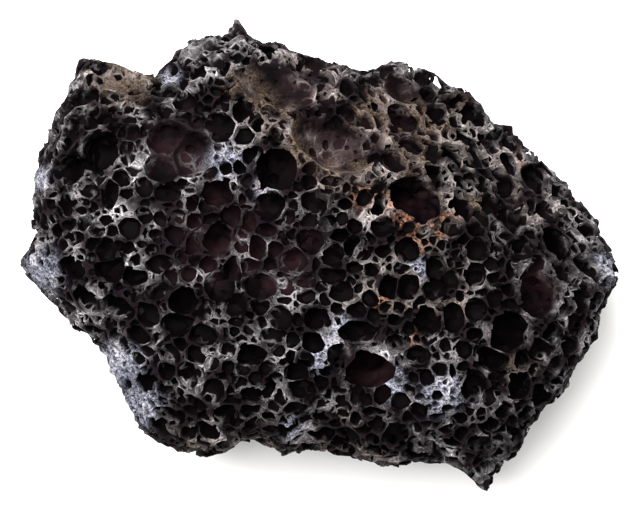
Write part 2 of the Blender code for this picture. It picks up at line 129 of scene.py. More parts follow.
# Cells of the crown's back left part.
BACK_LEFT_CELLS = (
    (-51.9, 40.7, 2.6, 2.0), (-52.1, 42.7, 3.1, 2.0), (-51.5, 35.2, 5.7, 5.7), (-46.4, 34.3, 4.4, 4.4),
    (-39.2, 39.8, 4.0, 2.6), (-33.4, 35.4, 5.3, 5.7), (-30.4, 39.8, 2.6, 2.6), (-25.1, 42.0, 3.1, 2.2),
    (-23.5, 45.8, 5.7, 2.6), (-27.5, 36.5, 4.4, 3.1), (-23.5, 38.3, 1.3, 3.1), (-21.6, 37.6, 2.6, 2.2),
    (-22.0, 35.6, 3.5, 2.2), (-24.0, 33.7, 3.1, 1.8), (-20.5, 34.1, 3.1, 1.8), (-26.4, 31.9, 2.6, 2.6),
    (-33.0, 31.7, 4.0, 3.1), (-37.4, 33.0, 3.1, 2.2), (-40.0, 34.3, 4.8, 1.3), (-42.0, 31.5, 4.0, 2.6),
    (-37.6, 30.4, 4.4, 2.2), (-44.4, 31.0, 5.7, 3.5), (-56.1, 33.7, 2.2, 3.1), (-56.5, 31.5, 2.2, 2.6),
    (-58.1, 27.7, 3.1, 2.6), (-54.3, 26.4, 4.8, 7.5), (-51.7, 29.0, 2.2, 1.8), (-49.3, 28.4, 3.1, 4.0),
    (-44.4, 27.7, 6.2, 2.2), (-41.4, 26.6, 4.8, 4.0), (-41.6, 22.2, 4.0, 4.8), (-38.9, 23.5, 1.8, 3.1),
    (-40.0, 18.5, 3.5, 3.1), (-42.5, 16.3, 3.5, 4.0), (-24.4, 24.9, 1.8, 3.5), (-21.6, 27.5, 6.6, 5.7),
    (-37.6, 14.7, 4.4, 4.0), (-32.6, 13.4, 5.7, 3.5), (-27.7, 14.1, 3.1, 2.6), (-50.2, 14.5, 4.0, 4.0),
    (-54.8, 11.2, 4.0, 6.2), (-45.1, 13.4, 3.5, 7.9), (-48.8, 10.3, 2.6, 2.2), (-51.3, 9.7, 3.1, 2.2),
    (-58.3, 11.2, 3.1, 2.2), (-45.8, 7.3, 3.1, 2.6), (-42.2, 9.7, 2.6, 1.8), (-37.8, 8.4, 4.0, 3.5),
    (-50.8, 6.8, 3.1, 3.1), (-53.9, 6.8, 4.0, 3.1), (-48.0, 5.3, 4.0, 3.1), (-59.4, 6.2, 3.1, 2.6),
    (-58.3, 2.9, 2.2, 1.8), (-55.4, 2.2, 2.6, 2.6), (-52.4, 3.5, 4.0, 3.1), (-45.8, 0.9, 4.0, 5.7),
    (-42.9, 2.0, 2.6, 2.2), (-38.3, 2.4, 2.6, 1.8), (-35.2, 4.6, 3.1, 2.2), (-32.6, 11.2, 2.6, 1.8),
    (-60.5, 22.2, 2.6, 3.5), (-57.2, 22.2, 3.1, 3.5),
)
# Cells of its back middle. These ones are deep.
DEEP_BACK_MIDDLE_CELLS = (
    (-13.9, 28.2, 3.3, 4.0), (-20.2, 18.7, 3.1, 2.6), (-17.2, 18.7, 3.1, 3.1), (2.2, 15.6, 4.4, 2.2),
    (5.1, 11.0, 3.1, 2.2), (4.0, 4.2, 4.8, 3.1),
)
# Cells of its back middle.
BACK_MIDDLE_CELLS = (
    (-18.7, 47.1, 3.5, 2.2), (-10.3, 46.9, 3.5, 2.6), (-16.7, 43.8, 5.7, 4.0), (-9.5, 25.5, 3.1, 5.3),
    (-13.6, 24.4, 2.2, 3.5), (-14.5, 31.7, 2.2, 1.8), (2.9, 39.8, 1.3, 2.6), (5.5, 37.0, 3.1, 5.3),
    (9.5, 35.4, 2.2, 4.4), (11.4, 32.6, 2.6, 4.8), (16.1, 32.8, 3.5, 3.1), (6.2, 31.0, 4.4, 5.3),
    (-2.6, 18.5, 3.1, 2.6), (5.5, 14.1, 1.8, 3.1), (-1.1, 11.2, 5.7, 5.3), (-11.0, 10.6, 6.2, 5.3),
    (-5.9, 12.8, 2.2, 2.0), (-15.4, 12.8, 1.8, 3.1), (-16.1, 9.7, 4.4, 2.2), (7.0, 6.2, 3.5, 3.1),
    (-2.2, 2.9, 5.7, 5.3), (-5.3, 6.6, 2.0, 2.2), (16.9, 4.2, 2.6, 2.2), (10.8, 4.0, 2.2, 3.5),
    (-12.1, 5.3, 6.2, 2.6), (-16.9, 4.6, 3.5, 3.1),
)
# Cells of its front left part. These ones are deep.
DEEP_FRONT_LEFT_CELLS = (
    (-53.9, -3.1, 7.5, 4.4), (-39.6, -4.8, 5.7, 3.5), (-29.3, -9.7, 5.7, 5.3), (-21.3, -11.9, 2.2, 2.6),
)
# Cells of its front left part.
FRONT_LEFT_CELLS = (
    (-60.9, -2.0, 2.6, 3.1), (-59.8, -7.5, 4.4, 4.4), (-55.7, -7.0, 3.5, 1.8), (-57.2, -10.3, 3.5, 2.6),
    (-53.5, -11.4, 3.1, 2.6), (-50.6, -5.9, 2.6, 2.2), (-45.1, -3.1, 6.6, 5.3), (-48.8, -13.6, 3.5, 3.1),
    (-43.3, -18.5, 5.3, 4.4), (-34.1, -2.0, 6.6, 3.5), (-35.2, -18.5, 3.1, 3.5), (-24.9, -12.3, 2.6, 3.5),
    (-25.3, -17.4, 7.5, 4.4), (-23.5, -23.3, 3.5, 3.1), (-28.6, -26.2, 4.4, 6.6), (-33.0, -25.1, 3.5, 4.0),
    (-37.4, -25.1, 3.1, 2.2), (-33.0, -29.5, 4.4, 3.1), (-28.2, -33.9, 4.0, 2.2), (-21.6, -26.8, 4.0, 2.2),
)
# Cells of its front middle. These ones are deep.
DEEP_FRONT_MIDDLE_CELLS = (
    (7.0, -2.6, 4.0, 2.2), (10.8, -3.3, 3.3, 2.9), (-0.2, -13.9, 4.8, 4.4), (-1.8, -18.9, 4.4, 4.4),
    (-14.7, -21.6, 5.7, 4.0), (-5.3, -25.7, 4.8, 4.8), (-0.4, -27.7, 3.5, 4.0), (23.8, -39.2, 2.4, 2.9),
    (3.7, -40.7, 4.8, 3.1), (-14.7, -33.9, 4.4, 3.5),
)
# Cells of its front middle.
FRONT_MIDDLE_CELLS = (
    (-18.3, -3.1, 4.0, 5.3), (-15.0, -2.6, 4.8, 3.5), (-12.5, -6.4, 6.6, 5.7), (-7.7, -9.7, 3.5, 2.2),
    (-3.7, -5.3, 5.3, 3.1), (-3.1, -9.0, 4.4, 2.6), (2.6, -4.2, 5.5, 4.0), (13.2, 0.7, 3.5, 2.6),
    (8.4, -7.5, 3.1, 3.1), (3.7, -11.4, 2.9, 3.1), (7.7, -11.9, 4.4, 3.1), (-9.9, -17.8, 5.3, 4.0),
    (-15.0, -15.8, 3.1, 3.1), (-18.0, -14.1, 3.5, 2.6), (-19.4, -20.2, 4.4, 3.1), (-8.8, -20.7, 3.1, 2.6),
    (-11.4, -24.6, 4.0, 3.1), (-16.3, -24.6, 3.1, 2.6), (-19.8, -24.2, 2.6, 3.1), (3.5, -30.4, 4.8, 3.5),
    (7.3, -31.0, 2.6, 4.0), (1.1, -33.9, 4.4, 3.5), (-4.4, -29.5, 6.6, 5.7), (-5.5, -33.4, 5.3, 3.1),
    (12.1, -34.3, 8.8, 3.1), (8.8, -38.3, 5.3, 2.6), (20.2, -38.3, 3.5, 4.0), (17.2, -31.7, 4.4, 3.5),
    (3.7, -37.2, 4.0, 3.1), (-16.1, -38.3, 4.4, 3.5), (-16.7, -27.9, 2.6, 3.1), (-19.4, -32.1, 5.3, 2.6),
    (-4.0, -38.7, 1.8, 2.2), (-1.5, -37.6, 2.2, 2.2), (15.8, -19.6, 4.4, 4.0), (20.5, -21.8, 5.3, 4.4),
    (18.7, -15.8, 3.5, 3.1), (18.5, -12.5, 2.2, 2.2), (13.6, -13.2, 2.6, 1.3), (19.4, -26.8, 3.5, 2.6),
    (20.9, -30.8, 2.6, 1.8),
)
# Cells of its right third. These ones are deep.
DEEP_RIGHT_CELLS = (
    (32.8, -17.4, 3.5, 3.1), (56.1, -10.1, 4.4, 4.8), (49.9, -17.4, 4.4, 5.3), (27.9, -24.9, 2.2, 3.5),
    (24.9, -30.4, 2.4, 2.4), (36.1, -37.2, 4.4, 3.5),
)
# Cells of its right third.
RIGHT_CELLS = (
    (24.4, -3.1, 4.0, 5.7), (24.2, -7.5, 4.8, 4.4), (29.5, -2.2, 2.2, 1.8), (33.0, -4.2, 4.0, 5.7),
    (28.2, -13.6, 4.4, 6.2), (33.0, -11.9, 4.4, 4.8), (37.4, -9.7, 3.5, 4.0), (55.0, -15.2, 4.4, 4.4),
    (47.3, -20.7, 5.7, 4.8), (57.2, 1.8, 2.6, 2.2), (46.0, -25.1, 3.1, 3.1), (28.2, -29.7, 1.8, 2.2),
    (29.7, -28.2, 1.8, 1.3), (27.1, -33.2, 3.1, 2.2), (30.1, -33.2, 3.1, 2.2), (25.1, -35.4, 4.4, 2.6),
    (29.7, -35.4, 4.0, 2.6), (27.5, -37.8, 6.6, 2.2), (27.9, -41.1, 6.6, 2.6), (39.6, -33.9, 5.7, 3.1),
    (42.9, -40.5, 4.4, 6.2), (36.1, -42.7, 4.0, 3.1), (31.2, -44.9, 5.7, 3.1), (37.4, -26.2, 3.5, 2.2),
    (26.6, -19.6, 3.5, 3.1), (24.9, 31.7, 4.4, 5.3), (36.1, 26.0, 3.5, 4.8), (33.0, 29.3, 2.6, 1.3),
    (34.8, 14.5, 4.0, 3.5), (36.5, 11.2, 4.4, 5.7), (37.4, 6.2, 2.2, 3.1), (42.0, 25.5, 3.5, 4.8),
    (53.2, 14.5, 4.8, 4.0), (51.3, 12.8, 2.2, 1.8), (53.0, 11.4, 2.2, 1.3), (55.0, 9.7, 3.1, 2.6),
    (52.8, 6.8, 4.4, 3.1), (45.5, 4.6, 2.6, 2.6), (48.0, 1.8, 2.2, 2.6), (42.9, 1.3, 5.7, 4.4),
    (37.4, 1.8, 2.6, 3.1), (30.6, 3.5, 7.5, 2.2), (29.0, 0.2, 2.6, 1.8), (26.0, 2.0, 2.6, 2.2),
    (24.0, 3.5, 2.2, 2.6), (38.9, -2.0, 2.2, 2.6),
)

# Patches of the crown where the stone's colour or skin changes, or where shade is painted: (x, y, reach).
CRUST_PATCHES = (
    (-20.3, 20.0, 4.0), (4.2, -15.5, 2.4), (1.5, -19.5, 2.4), (-0.6, -22.6, 2.8), (14.8, -27.5, 3.4),
    (25.8, -30.0, 4.4), (-6.1, -38.3, 2.8), (-61.0, -3.6, 5.0), (-61.5, 17.0, 2.6), (-32.7, 39.0, 2.4),
    (-43.5, -24.0, 5.0), (-39.0, -33.0, 5.0), (62.7, -3.0, 3.6), (20.0, -3.0, 2.6), (-12.0, 14.5, 2.2),
)
TAN_PATCHES = (
    (-42.9, 39.4, 6.5), (-17.5, 37.5, 3.6), (-12.5, 33.0, 3.6), (-8.5, 29.0, 3.4), (-4.4, 22.2, 3.2),
    (2.2, 17.4, 3.2), (8.8, 17.4, 3.4), (12.5, 33.0, 3.2), (14.0, 27.0, 3.4), (20.0, 21.0, 4.2),
    (25.0, 28.5, 4.2), (30.8, 34.0, 3.8), (42.9, 22.2, 3.8), (33.0, 10.7, 2.4), (41.8, -23.3, 1.6),
    (8.8, 30.0, 3.0), (20.0, 31.5, 3.0),
)
RUST_PATCHES = (
    (9.2, 12.8, 2.6), (14.3, 10.6, 2.8), (18.7, 6.6, 2.8), (24.2, 5.0, 2.4), (20.9, 2.4, 2.2),
    (-5.5, 25.5, 1.5), (-12.8, 14.5, 1.1), (13.2, -10.3, 1.7), (28.2, -12.3, 1.9), (19.8, -18.0, 1.5),
    (27.5, 7.5, 2.0), (44.0, 21.0, 1.8),
)
RED_PATCHES = (
    (-4.8, 37.0, 9.0), (2.6, 23.3, 9.0), (-31.2, 22.7, 8.5), (18.7, 36.0, 7.0), (18.3, 26.6, 7.0),
    (-22.0, 4.0, 12.0), (-8.0, -1.0, 9.0), (47.3, -8.0, 6.5), (47.0, 17.0, 8.0), (10.6, -24.6, 6.0),
    (22.0, 11.0, 5.0),
)
WARM_PATCHES = (
    (-4.0, 32.0, 14.0), (8.0, 20.0, 14.0), (22.0, 28.0, 15.0), (36.0, 24.0, 12.0), (48.0, 14.0, 9.0),
    (14.0, -8.0, 10.0), (26.0, -8.0, 9.0), (24.0, 8.0, 11.0), (-45.0, 39.0, 9.0), (42.0, -24.0, 7.0),
    (-28.0, -42.0, 8.0), (-12.0, -42.0, 8.0), (8.0, -43.0, 10.0),
)
# Painted shade that dims the crests: over the broad sunken hollow left of the middle and over other patches
# of the crown.
PAINTED_SHADE_PATCHES = (
    (-22.0, 5.0, 10.0), (-9.0, -1.0, 9.0), (-31.0, 24.0, 6.0), (-32.0, -7.0, 7.0),
    (52.0, 0.0, 8.0), (40.0, -17.0, 7.0), (-14.0, -36.0, 7.0),
    (38.0, -36.0, 8.0), (10.0, -38.0, 7.0),
)

# Deep pits in the floors of the broad hollows: (x, y, mouth along x, mouth along y).
INNER_PITS = (
    (-11.4, 33.9, 3.1, 1.5), (-15.6, 37.0, 1.3, 1.1), (-9.7, 37.8, 1.2, 1.0), (-5.7, 37.6, 1.2, 1.1),
    (-1.8, 22.2, 3.3, 2.4), (1.1, 23.8, 1.5, 3.1), (7.5, 20.5, 1.5, 1.3), (2.2, 28.0, 4.4, 2.6),
    (-27.9, 22.9, 3.1, 2.3), (-37.0, 20.2, 2.6, 1.5), (-29.7, 15.8, 3.1, 1.6), (-33.0, 27.5, 4.4, 2.2),
    (46.0, -6.0, 2.2, 1.8), (49.0, -10.2, 1.8, 2.4),
)

PATCHES = {
    "crust": CRUST_PATCHES, "tan": TAN_PATCHES, "rust": RUST_PATCHES, "red": RED_PATCHES,
    "warm": WARM_PATCHES, "painted_shade": PAINTED_SHADE_PATCHES,
}


class Depth(Enum):
    """How deep a listed cell goes, as a share of its mouth's mean width."""

    PLAIN = 0.62
    DEEP = 1.0


@dataclass(frozen=True)
class CellTable:
    """Cells of one part of the crown, as (x, y, mouth along x, mouth along y)."""

    rows: tuple
    depth: Depth


CELL_TABLES = (
    CellTable(DEEP_BROAD_CELLS, Depth.DEEP),
    CellTable(BROAD_CELLS, Depth.PLAIN),
    CellTable(DEEP_BACK_LEFT_CELLS, Depth.DEEP),
    CellTable(BACK_LEFT_CELLS, Depth.PLAIN),
    CellTable(DEEP_BACK_MIDDLE_CELLS, Depth.DEEP),
    CellTable(BACK_MIDDLE_CELLS, Depth.PLAIN),
    CellTable(DEEP_FRONT_LEFT_CELLS, Depth.DEEP),
    CellTable(FRONT_LEFT_CELLS, Depth.PLAIN),
    CellTable(DEEP_FRONT_MIDDLE_CELLS, Depth.DEEP),
    CellTable(FRONT_MIDDLE_CELLS, Depth.PLAIN),
    CellTable(DEEP_RIGHT_CELLS, Depth.DEEP),
    CellTable(RIGHT_CELLS, Depth.PLAIN),
)


def linear(code: str) -> tuple[float, ...]:
    """Turn an sRGB colour code into the linear colour that shaders take.

    Args:
        code: The colour, such as "#8a8078".

    Returns:
        Red, green, blue and alpha.
    """
    channels = [int(code[place:place + 2], 16) / 255.0 for place in (1, 3, 5)]
    return (*(c / 12.92 if c <= 0.04045 else ((c + 0.055) / 1.055) ** 2.4 for c in channels), 1.0)


def pick_only(thing: bpy.types.Object) -> None:
    """Select one object alone and make it active.

    Args:
        thing: The object.
    """
    bpy.ops.object.select_all(action="DESELECT")
    thing.select_set(True)
    bpy.context.view_layer.objects.active = thing


def apply_modifier(thing: bpy.types.Object, kind: str, **settings: object) -> None:
    """Add a modifier to an object and apply it.

    Args:
        thing: The object.
        kind: The modifier's type, such as DECIMATE.
        settings: Values of the modifier's properties.
    """
    modifier = thing.modifiers.new(kind.lower(), kind)
    for name, value in settings.items():
        setattr(modifier, name, value)
    pick_only(thing)
    bpy.ops.object.modifier_apply(modifier=modifier.name)


def link_mesh(name: str, mesh: bpy.types.Mesh) -> bpy.types.Object:
    """Put a mesh into the scene as an object.

    Args:
        name: The object's name.
        mesh: The mesh.

    Returns:
        The object.
    """
    thing = bpy.data.objects.new(name, mesh)
    bpy.context.scene.collection.objects.link(thing)
    return thing


def link_triangles(name: str, points: np.ndarray, triangles: np.ndarray) -> bpy.types.Object:
    """Make an object from arrays of points and triangles.

    Args:
        name: The object's name.
        points: An array of places in millimetres.
        triangles: An array of three point numbers each.

    Returns:
        The object.
    """
    mesh = bpy.data.meshes.new(name)
    mesh.vertices.add(len(points))
    mesh.vertices.foreach_set("co", (points * MM).astype(np.float32).ravel())
    mesh.loops.add(3 * len(triangles))
    mesh.loops.foreach_set("vertex_index", triangles.astype(np.int32).ravel())
    mesh.polygons.add(len(triangles))
    mesh.polygons.foreach_set("loop_start", np.arange(len(triangles), dtype=np.int32) * 3)
    mesh.update(calc_edges=True)
    mesh.validate()
    return link_mesh(name, mesh)


def vertex_places(mesh: bpy.types.Mesh) -> np.ndarray:
    """Return a mesh's vertices as an array in millimetres.

    Args:
        mesh: The mesh.

    Returns:
        An array with a row for each vertex.
    """
    places = np.empty(len(mesh.vertices) * 3, dtype=np.float32)
    mesh.vertices.foreach_get("co", places)
    return places.reshape(-1, 3).astype(float) / MM


@dataclass
class Body:
    """The block before any bubble opened: a ball pushed out to its outline and heights, broken and rough."""

    waist_height: float = 23.0
    waist_sway: float = 5.0
    # The waves of the waist's height around the block: (share, waves, turn in radians).
    sway_waves: tuple = ((0.6, 1.0, -0.6), (0.4, 2.0, 1.0))
    crown_height: float = 37.0
    keel_depth: float = 27.0
    crown_squareness: float = 3.4
    keel_squareness: float = 2.5
    gentle_squareness: float = 2.3
    gentle_heading: float = math.radians(48.0)
    gentle_span: float = math.radians(42.0)
    outline_blur: float = math.radians(14.0)
    blur_steps: tuple = (-1.0, -0.5, 0.0, 0.5, 1.0)
    blur_growth: float = 1.2
    break_clearance: float = 0.6
    swell_growth: float = 2.0
    lump_size: float = 24.0
    lump_height: float = 2.4
    crag_size: float = 7.0
    crag_height: float = 1.1
    flank_roughness: float = 0.25
    chip_size: float = 2.4
    chip_height: float = 1.1
    chip_bias: float = 0.2
    grit_size: float = 1.1
    grit_height: float = 0.2
    subdivisions: int = 7
    voxel: float = 0.8

    def outline_reach(self, heading: np.ndarray) -> np.ndarray:
        """Return the distance from the middle to the outline.

        Args:
            heading: Headings in radians.

        Returns:
            The distances.
        """
        headings = [math.atan2(y, x) for x, y in OUTLINE]
        reaches = [math.hypot(x, y) for x, y in OUTLINE]
        return np.interp(heading, headings, reaches, period=math.tau)

    def smooth_points(self, directions: np.ndarray) -> np.ndarray:
        """Return where directions from the middle meet the smooth body.

        Args:
            directions: An array of unit vectors.

        Returns:
            An array of places.
        """
        heading = np.arctan2(directions[:, 1], directions[:, 0])
        level = np.hypot(directions[:, 0], directions[:, 1])
        rise = directions[:, 2]
        offset = (heading - self.gentle_heading + math.pi) % math.tau - math.pi
        gentle = np.exp(-(offset / self.gentle_span) ** 2)
        crown = self.crown_squareness + (self.gentle_squareness - self.crown_squareness) * gentle
        squareness = np.where(rise > 0.0, crown, self.keel_squareness)
        height = np.where(rise > 0.0, self.crown_height, self.keel_depth)
        stretch = (level ** squareness + np.abs(rise) ** squareness) ** (-1.0 / squareness)
        outline = self.outline_reach(heading)
        around = [self.outline_reach(heading + self.outline_blur * step) for step in self.blur_steps]
        blurred = sum(around) / len(around)
        blur = np.minimum(1.0, self.blur_growth * np.abs(rise))
        reach = level * stretch * (outline + blur * (np.minimum(outline, blurred) - outline))
        waves = sum(share * np.sin(count * heading + turn) for share, count, turn in self.sway_waves)
        sway = self.waist_sway * waves
        z = self.waist_height + sway * (1.0 - np.abs(rise)) + rise * stretch * height
        return np.stack([reach * np.cos(heading), reach * np.sin(heading), z], axis=1)

    def break_off(self, shape: bmesh.types.BMesh, place: Vector, normal: Vector) -> None:
        """Break a bmesh off flat at a plane, on the side that the normal points to.

        Args:
            shape: The bmesh.
            place: A point of the plane, in metres.
            normal: The plane's normal.
        """
        every_part = shape.verts[:] + shape.edges[:] + shape.faces[:]
        cut = bmesh.ops.bisect_plane(
            shape, geom=every_part, plane_co=place, plane_no=normal, clear_outer=True
        )
        rim = [piece for piece in cut["geom_cut"] if isinstance(piece, bmesh.types.BMEdge)]
        if rim:
            bmesh.ops.holes_fill(shape, edges=rim)
            bmesh.ops.triangulate(shape, faces=[face for face in shape.faces if len(face.verts) > 3])

    def roughened(self, point: Vector) -> Vector:
        """Return a point of the body moved by the swells, lumps, crags, chips and grit.

        Args:
            point: The point.

        Returns:
            The moved point.
        """
        direction = (point - UP * self.waist_height).normalized()
        swell = 0.0
        for x, y, reach, height in SWELLS:
            distance = math.hypot(point.x - x, point.y - y) / reach
            swell += height * math.exp(-distance * distance)
        lump = self.lump_height * noise.noise(point / self.lump_size)
        crag = self.crag_height * noise.noise(point / self.crag_size)
        chip = self.chip_height * (noise.noise(point / self.chip_size) - self.chip_bias)
        chip += self.grit_height * noise.noise(point / self.grit_size)
        lifted = UP * (swell * min(1.0, self.swell_growth * max(0.0, direction.z)))
        roughness = self.flank_roughness + (1.0 - self.flank_roughness) * abs(direction.z)
        return point + lifted + direction * ((lump + crag) * roughness + chip)

    def build(self) -> bpy.types.Object:
        """Make the body.

        Returns:
            The body's object, with a flat base at height 0.
        """
        shape = bmesh.new()
        bmesh.ops.create_icosphere(shape, subdivisions=self.subdivisions, radius=1.0)
        directions = np.array([vertex.co.normalized() for vertex in shape.verts])
        for vertex, place in zip(shape.verts, self.smooth_points(directions)):
            vertex.co = Vector(place) * MM
        for heading, tilt in BREAKS:
            away = Vector((math.cos(math.radians(heading)), math.sin(math.radians(heading)), 0.0))
            normal = away * math.cos(math.radians(tilt)) + UP * math.sin(math.radians(tilt))
            distance = max(x * away.x + y * away.y for x, y in OUTLINE) + self.break_clearance
            self.break_off(shape, (away * distance + UP * self.waist_height) * MM, normal)
        mesh = bpy.data.meshes.new("body")
        shape.to_mesh(mesh)
        shape.free()
        body = link_mesh("body", mesh)
        apply_modifier(body, "REMESH", mode="VOXEL", voxel_size=self.voxel * MM)
        shape = bmesh.new()
        shape.from_mesh(body.data)
        for vertex in shape.verts:
            vertex.co = self.roughened(vertex.co / MM) * MM
        bmesh.ops.triangulate(shape, faces=shape.faces[:])
        self.break_off(shape, Vector(), -UP)
        shape.to_mesh(body.data)
        shape.free()
        return body


class Surface:
    """A closed mesh in millimetres, for rays, distances and random places."""

    def __init__(self, thing: bpy.types.Object) -> None:
        """Read an object's mesh.

        Args:
            thing: The object.
        """
        mesh = thing.data
        mesh.calc_loop_triangles()
        corners = np.empty(len(mesh.loop_triangles) * 3, dtype=np.int32)
        mesh.loop_triangles.foreach_get("vertices", corners)
        self.points = vertex_places(mesh)
        self.corners = corners.reshape(-1, 3)
        first, second, third = (self.points[self.corners[:, k]] for k in range(3))
        crossed = np.cross(second - first, third - first)
        self.areas = np.linalg.norm(crossed, axis=1) / 2.0
        self.normals = np.zeros_like(self.points)
        for k in range(3):
            np.add.at(self.normals, self.corners[:, k], crossed)
        self.normals /= np.maximum(np.linalg.norm(self.normals, axis=1), TINY)[:, None]

    @cached_property
    def tree(self) -> BVHTree:
        """The mesh's tree for rays and distances, made when it is first asked for."""
        return BVHTree.FromPolygons(self.points.tolist(), self.corners.tolist())

    def random_places(
        self, dice: np.random.Generator, count: int, weight: Callable
    ) -> tuple[np.ndarray, np.ndarray]:
        """Choose random places of the surface.

        Args:
            dice: The random generator.
            count: How many places.
            weight: A function of the triangles' middles and normals that says how likely each one is.

        Returns:
            An array of places and an array of the normals there.
        """
        middles = self.points[self.corners].mean(axis=1)
        normals = self.normals[self.corners].mean(axis=1)
        share = self.areas * weight(middles, normals)
        chosen = dice.choice(len(share), size=count, p=share / share.sum())
        mix = dice.dirichlet((1.0, 1.0, 1.0), size=count)[:, :, None]
        places = (self.points[self.corners[chosen]] * mix).sum(axis=1)
        facing = (self.normals[self.corners[chosen]] * mix).sum(axis=1)
        return places, facing / np.linalg.norm(facing, axis=1)[:, None]

    def spot_below(self, x: float, y: float) -> tuple[Vector, Vector]:
        """Look straight down at the surface.

        Args:
            x: Where, along the block.
            y: Where, across it.

        Returns:
            The place that is seen and the normal there.
        """
        spot, normal, _, _ = self.tree.ray_cast(Vector((x, y, SKY)), DOWN)
        return spot, normal

    def depth(self, place: np.ndarray) -> float:
        """Return how far a place is from the surface."""
        return self.tree.find_nearest(Vector(place))[3]

    def holds(self, place: np.ndarray) -> bool:
        """Say whether a place is inside the surface."""
        nearest, normal, _, _ = self.tree.find_nearest(Vector(place))
        return (Vector(place) - nearest).dot(normal) < 0.0


def axes_along(normal: Vector | np.ndarray, turn: float, too_close: float = 0.95) -> np.ndarray:
    """Return three unit axes, the last along a normal.

    Args:
        normal: The direction of the last axis.
        turn: The heading of the first axis, in radians, before it is made square to the normal.
        too_close: How nearly that heading may run along the normal before it is turned by a quarter.

    Returns:
        An array with an axis in each row.
    """
    normal = Vector(normal).normalized()
    sideways = Vector((math.cos(turn), math.sin(turn), 0.0))
    if abs(normal.dot(sideways)) > too_close:
        sideways = Vector((-math.sin(turn), math.cos(turn), 0.0))
    sideways = (sideways - normal * sideways.dot(normal)).normalized()
    return np.array([sideways, normal.cross(sideways), normal])


@dataclass
class Foam:
    """Bubbles: their middles, half widths along their own axes, and those axes."""

    capacity: int = 16000
    free_swell: float = 1.55
    count: int = 0
    middles: np.ndarray = field(init=False)
    halves: np.ndarray = field(init=False)
    axes: np.ndarray = field(init=False)
    widest: np.ndarray = field(init=False)
    swell: np.ndarray = field(init=False)
    rigid: np.ndarray = field(init=False)

    def __post_init__(self) -> None:
        """Make room for the bubbles."""
        self.swell = np.empty(self.capacity)
        self.rigid = np.zeros(self.capacity, dtype=bool)
        self.middles = np.empty((self.capacity, 3))
        self.halves = np.empty((self.capacity, 3))
        self.axes = np.empty((self.capacity, 3, 3))
        self.widest = np.empty(self.capacity)

    def add(
        self, middle: np.ndarray, halves: np.ndarray, axes: np.ndarray, swell: float, rigid: bool = False
    ) -> None:
        """Add one bubble.

        Args:
            middle: Its middle.
            halves: Its three half widths.
            axes: Its three axes.
            swell: How far it can be blown up where there is room, as a share of its half widths.
            rigid: Whether it keeps its own shape and the others give way.
        """
        self.middles[self.count] = middle
        self.halves[self.count] = halves
        self.axes[self.count] = axes
        self.widest[self.count] = max(halves)
        self.swell[self.count] = swell
        self.rigid[self.count] = rigid
        self.count += 1

    def rigid_ones(self) -> np.ndarray:
        """Return the numbers of the bubbles that keep their own shape."""
        return np.nonzero(self.rigid[:self.count])[0]

    def spread(self, index: int, places: np.ndarray) -> np.ndarray:
        """Return how far out places lie from one bubble's middle, as a share of its half widths.

        Args:
            index: The bubble's number.
            places: An array of places.

        Returns:
            An array of shares, below 1 inside the bubble.
        """
        turned = (places - self.middles[index]) @ self.axes[index].T
        return np.linalg.norm(turned / self.halves[index], axis=1)

    def reach(self, chosen: np.ndarray, directions: np.ndarray) -> np.ndarray:
        """Return how far chosen bubbles reach, each along its own direction.

        Args:
            chosen: The numbers of the bubbles.
            directions: A unit vector for each of them.

        Returns:
            An array of distances from their middles.
        """
        turned = np.einsum("nij,nj->ni", self.axes[chosen], directions)
        return 1.0 / np.linalg.norm(turned / self.halves[chosen], axis=1)

    def room(self, place: np.ndarray, limit: float) -> float:
        """Return how far a place is from the nearest bubble's wall.

        Args:
            place: The place.
            limit: The distance past which it doesn't matter.

        Returns:
            The distance, or the limit. It is negative inside a bubble.
        """
        offsets = place - self.middles[:self.count]
        distances = np.sqrt((offsets * offsets).sum(axis=1))
        close = np.nonzero(distances < limit + self.widest[:self.count])[0]
        if len(close) == 0:
            return limit
        directions = offsets[close] / np.maximum(distances[close], TINY)[:, None]
        return min(limit, float((distances[close] - self.reach(close, directions)).min()))


def icosphere(detail: int) -> tuple[np.ndarray, np.ndarray]:
    """Return a unit ball's points and triangles.

    Args:
        detail: The number of subdivisions.

    Returns:
        An array of unit vectors and an array of triangles.
    """
    shape = bmesh.new()
    bmesh.ops.create_icosphere(shape, subdivisions=detail, radius=1.0)
    directions = np.array([vertex.co.normalized() for vertex in shape.verts])
    triangles = np.array([[vertex.index for vertex in face.verts] for face in shape.faces])
    shape.free()
    return directions, triangles


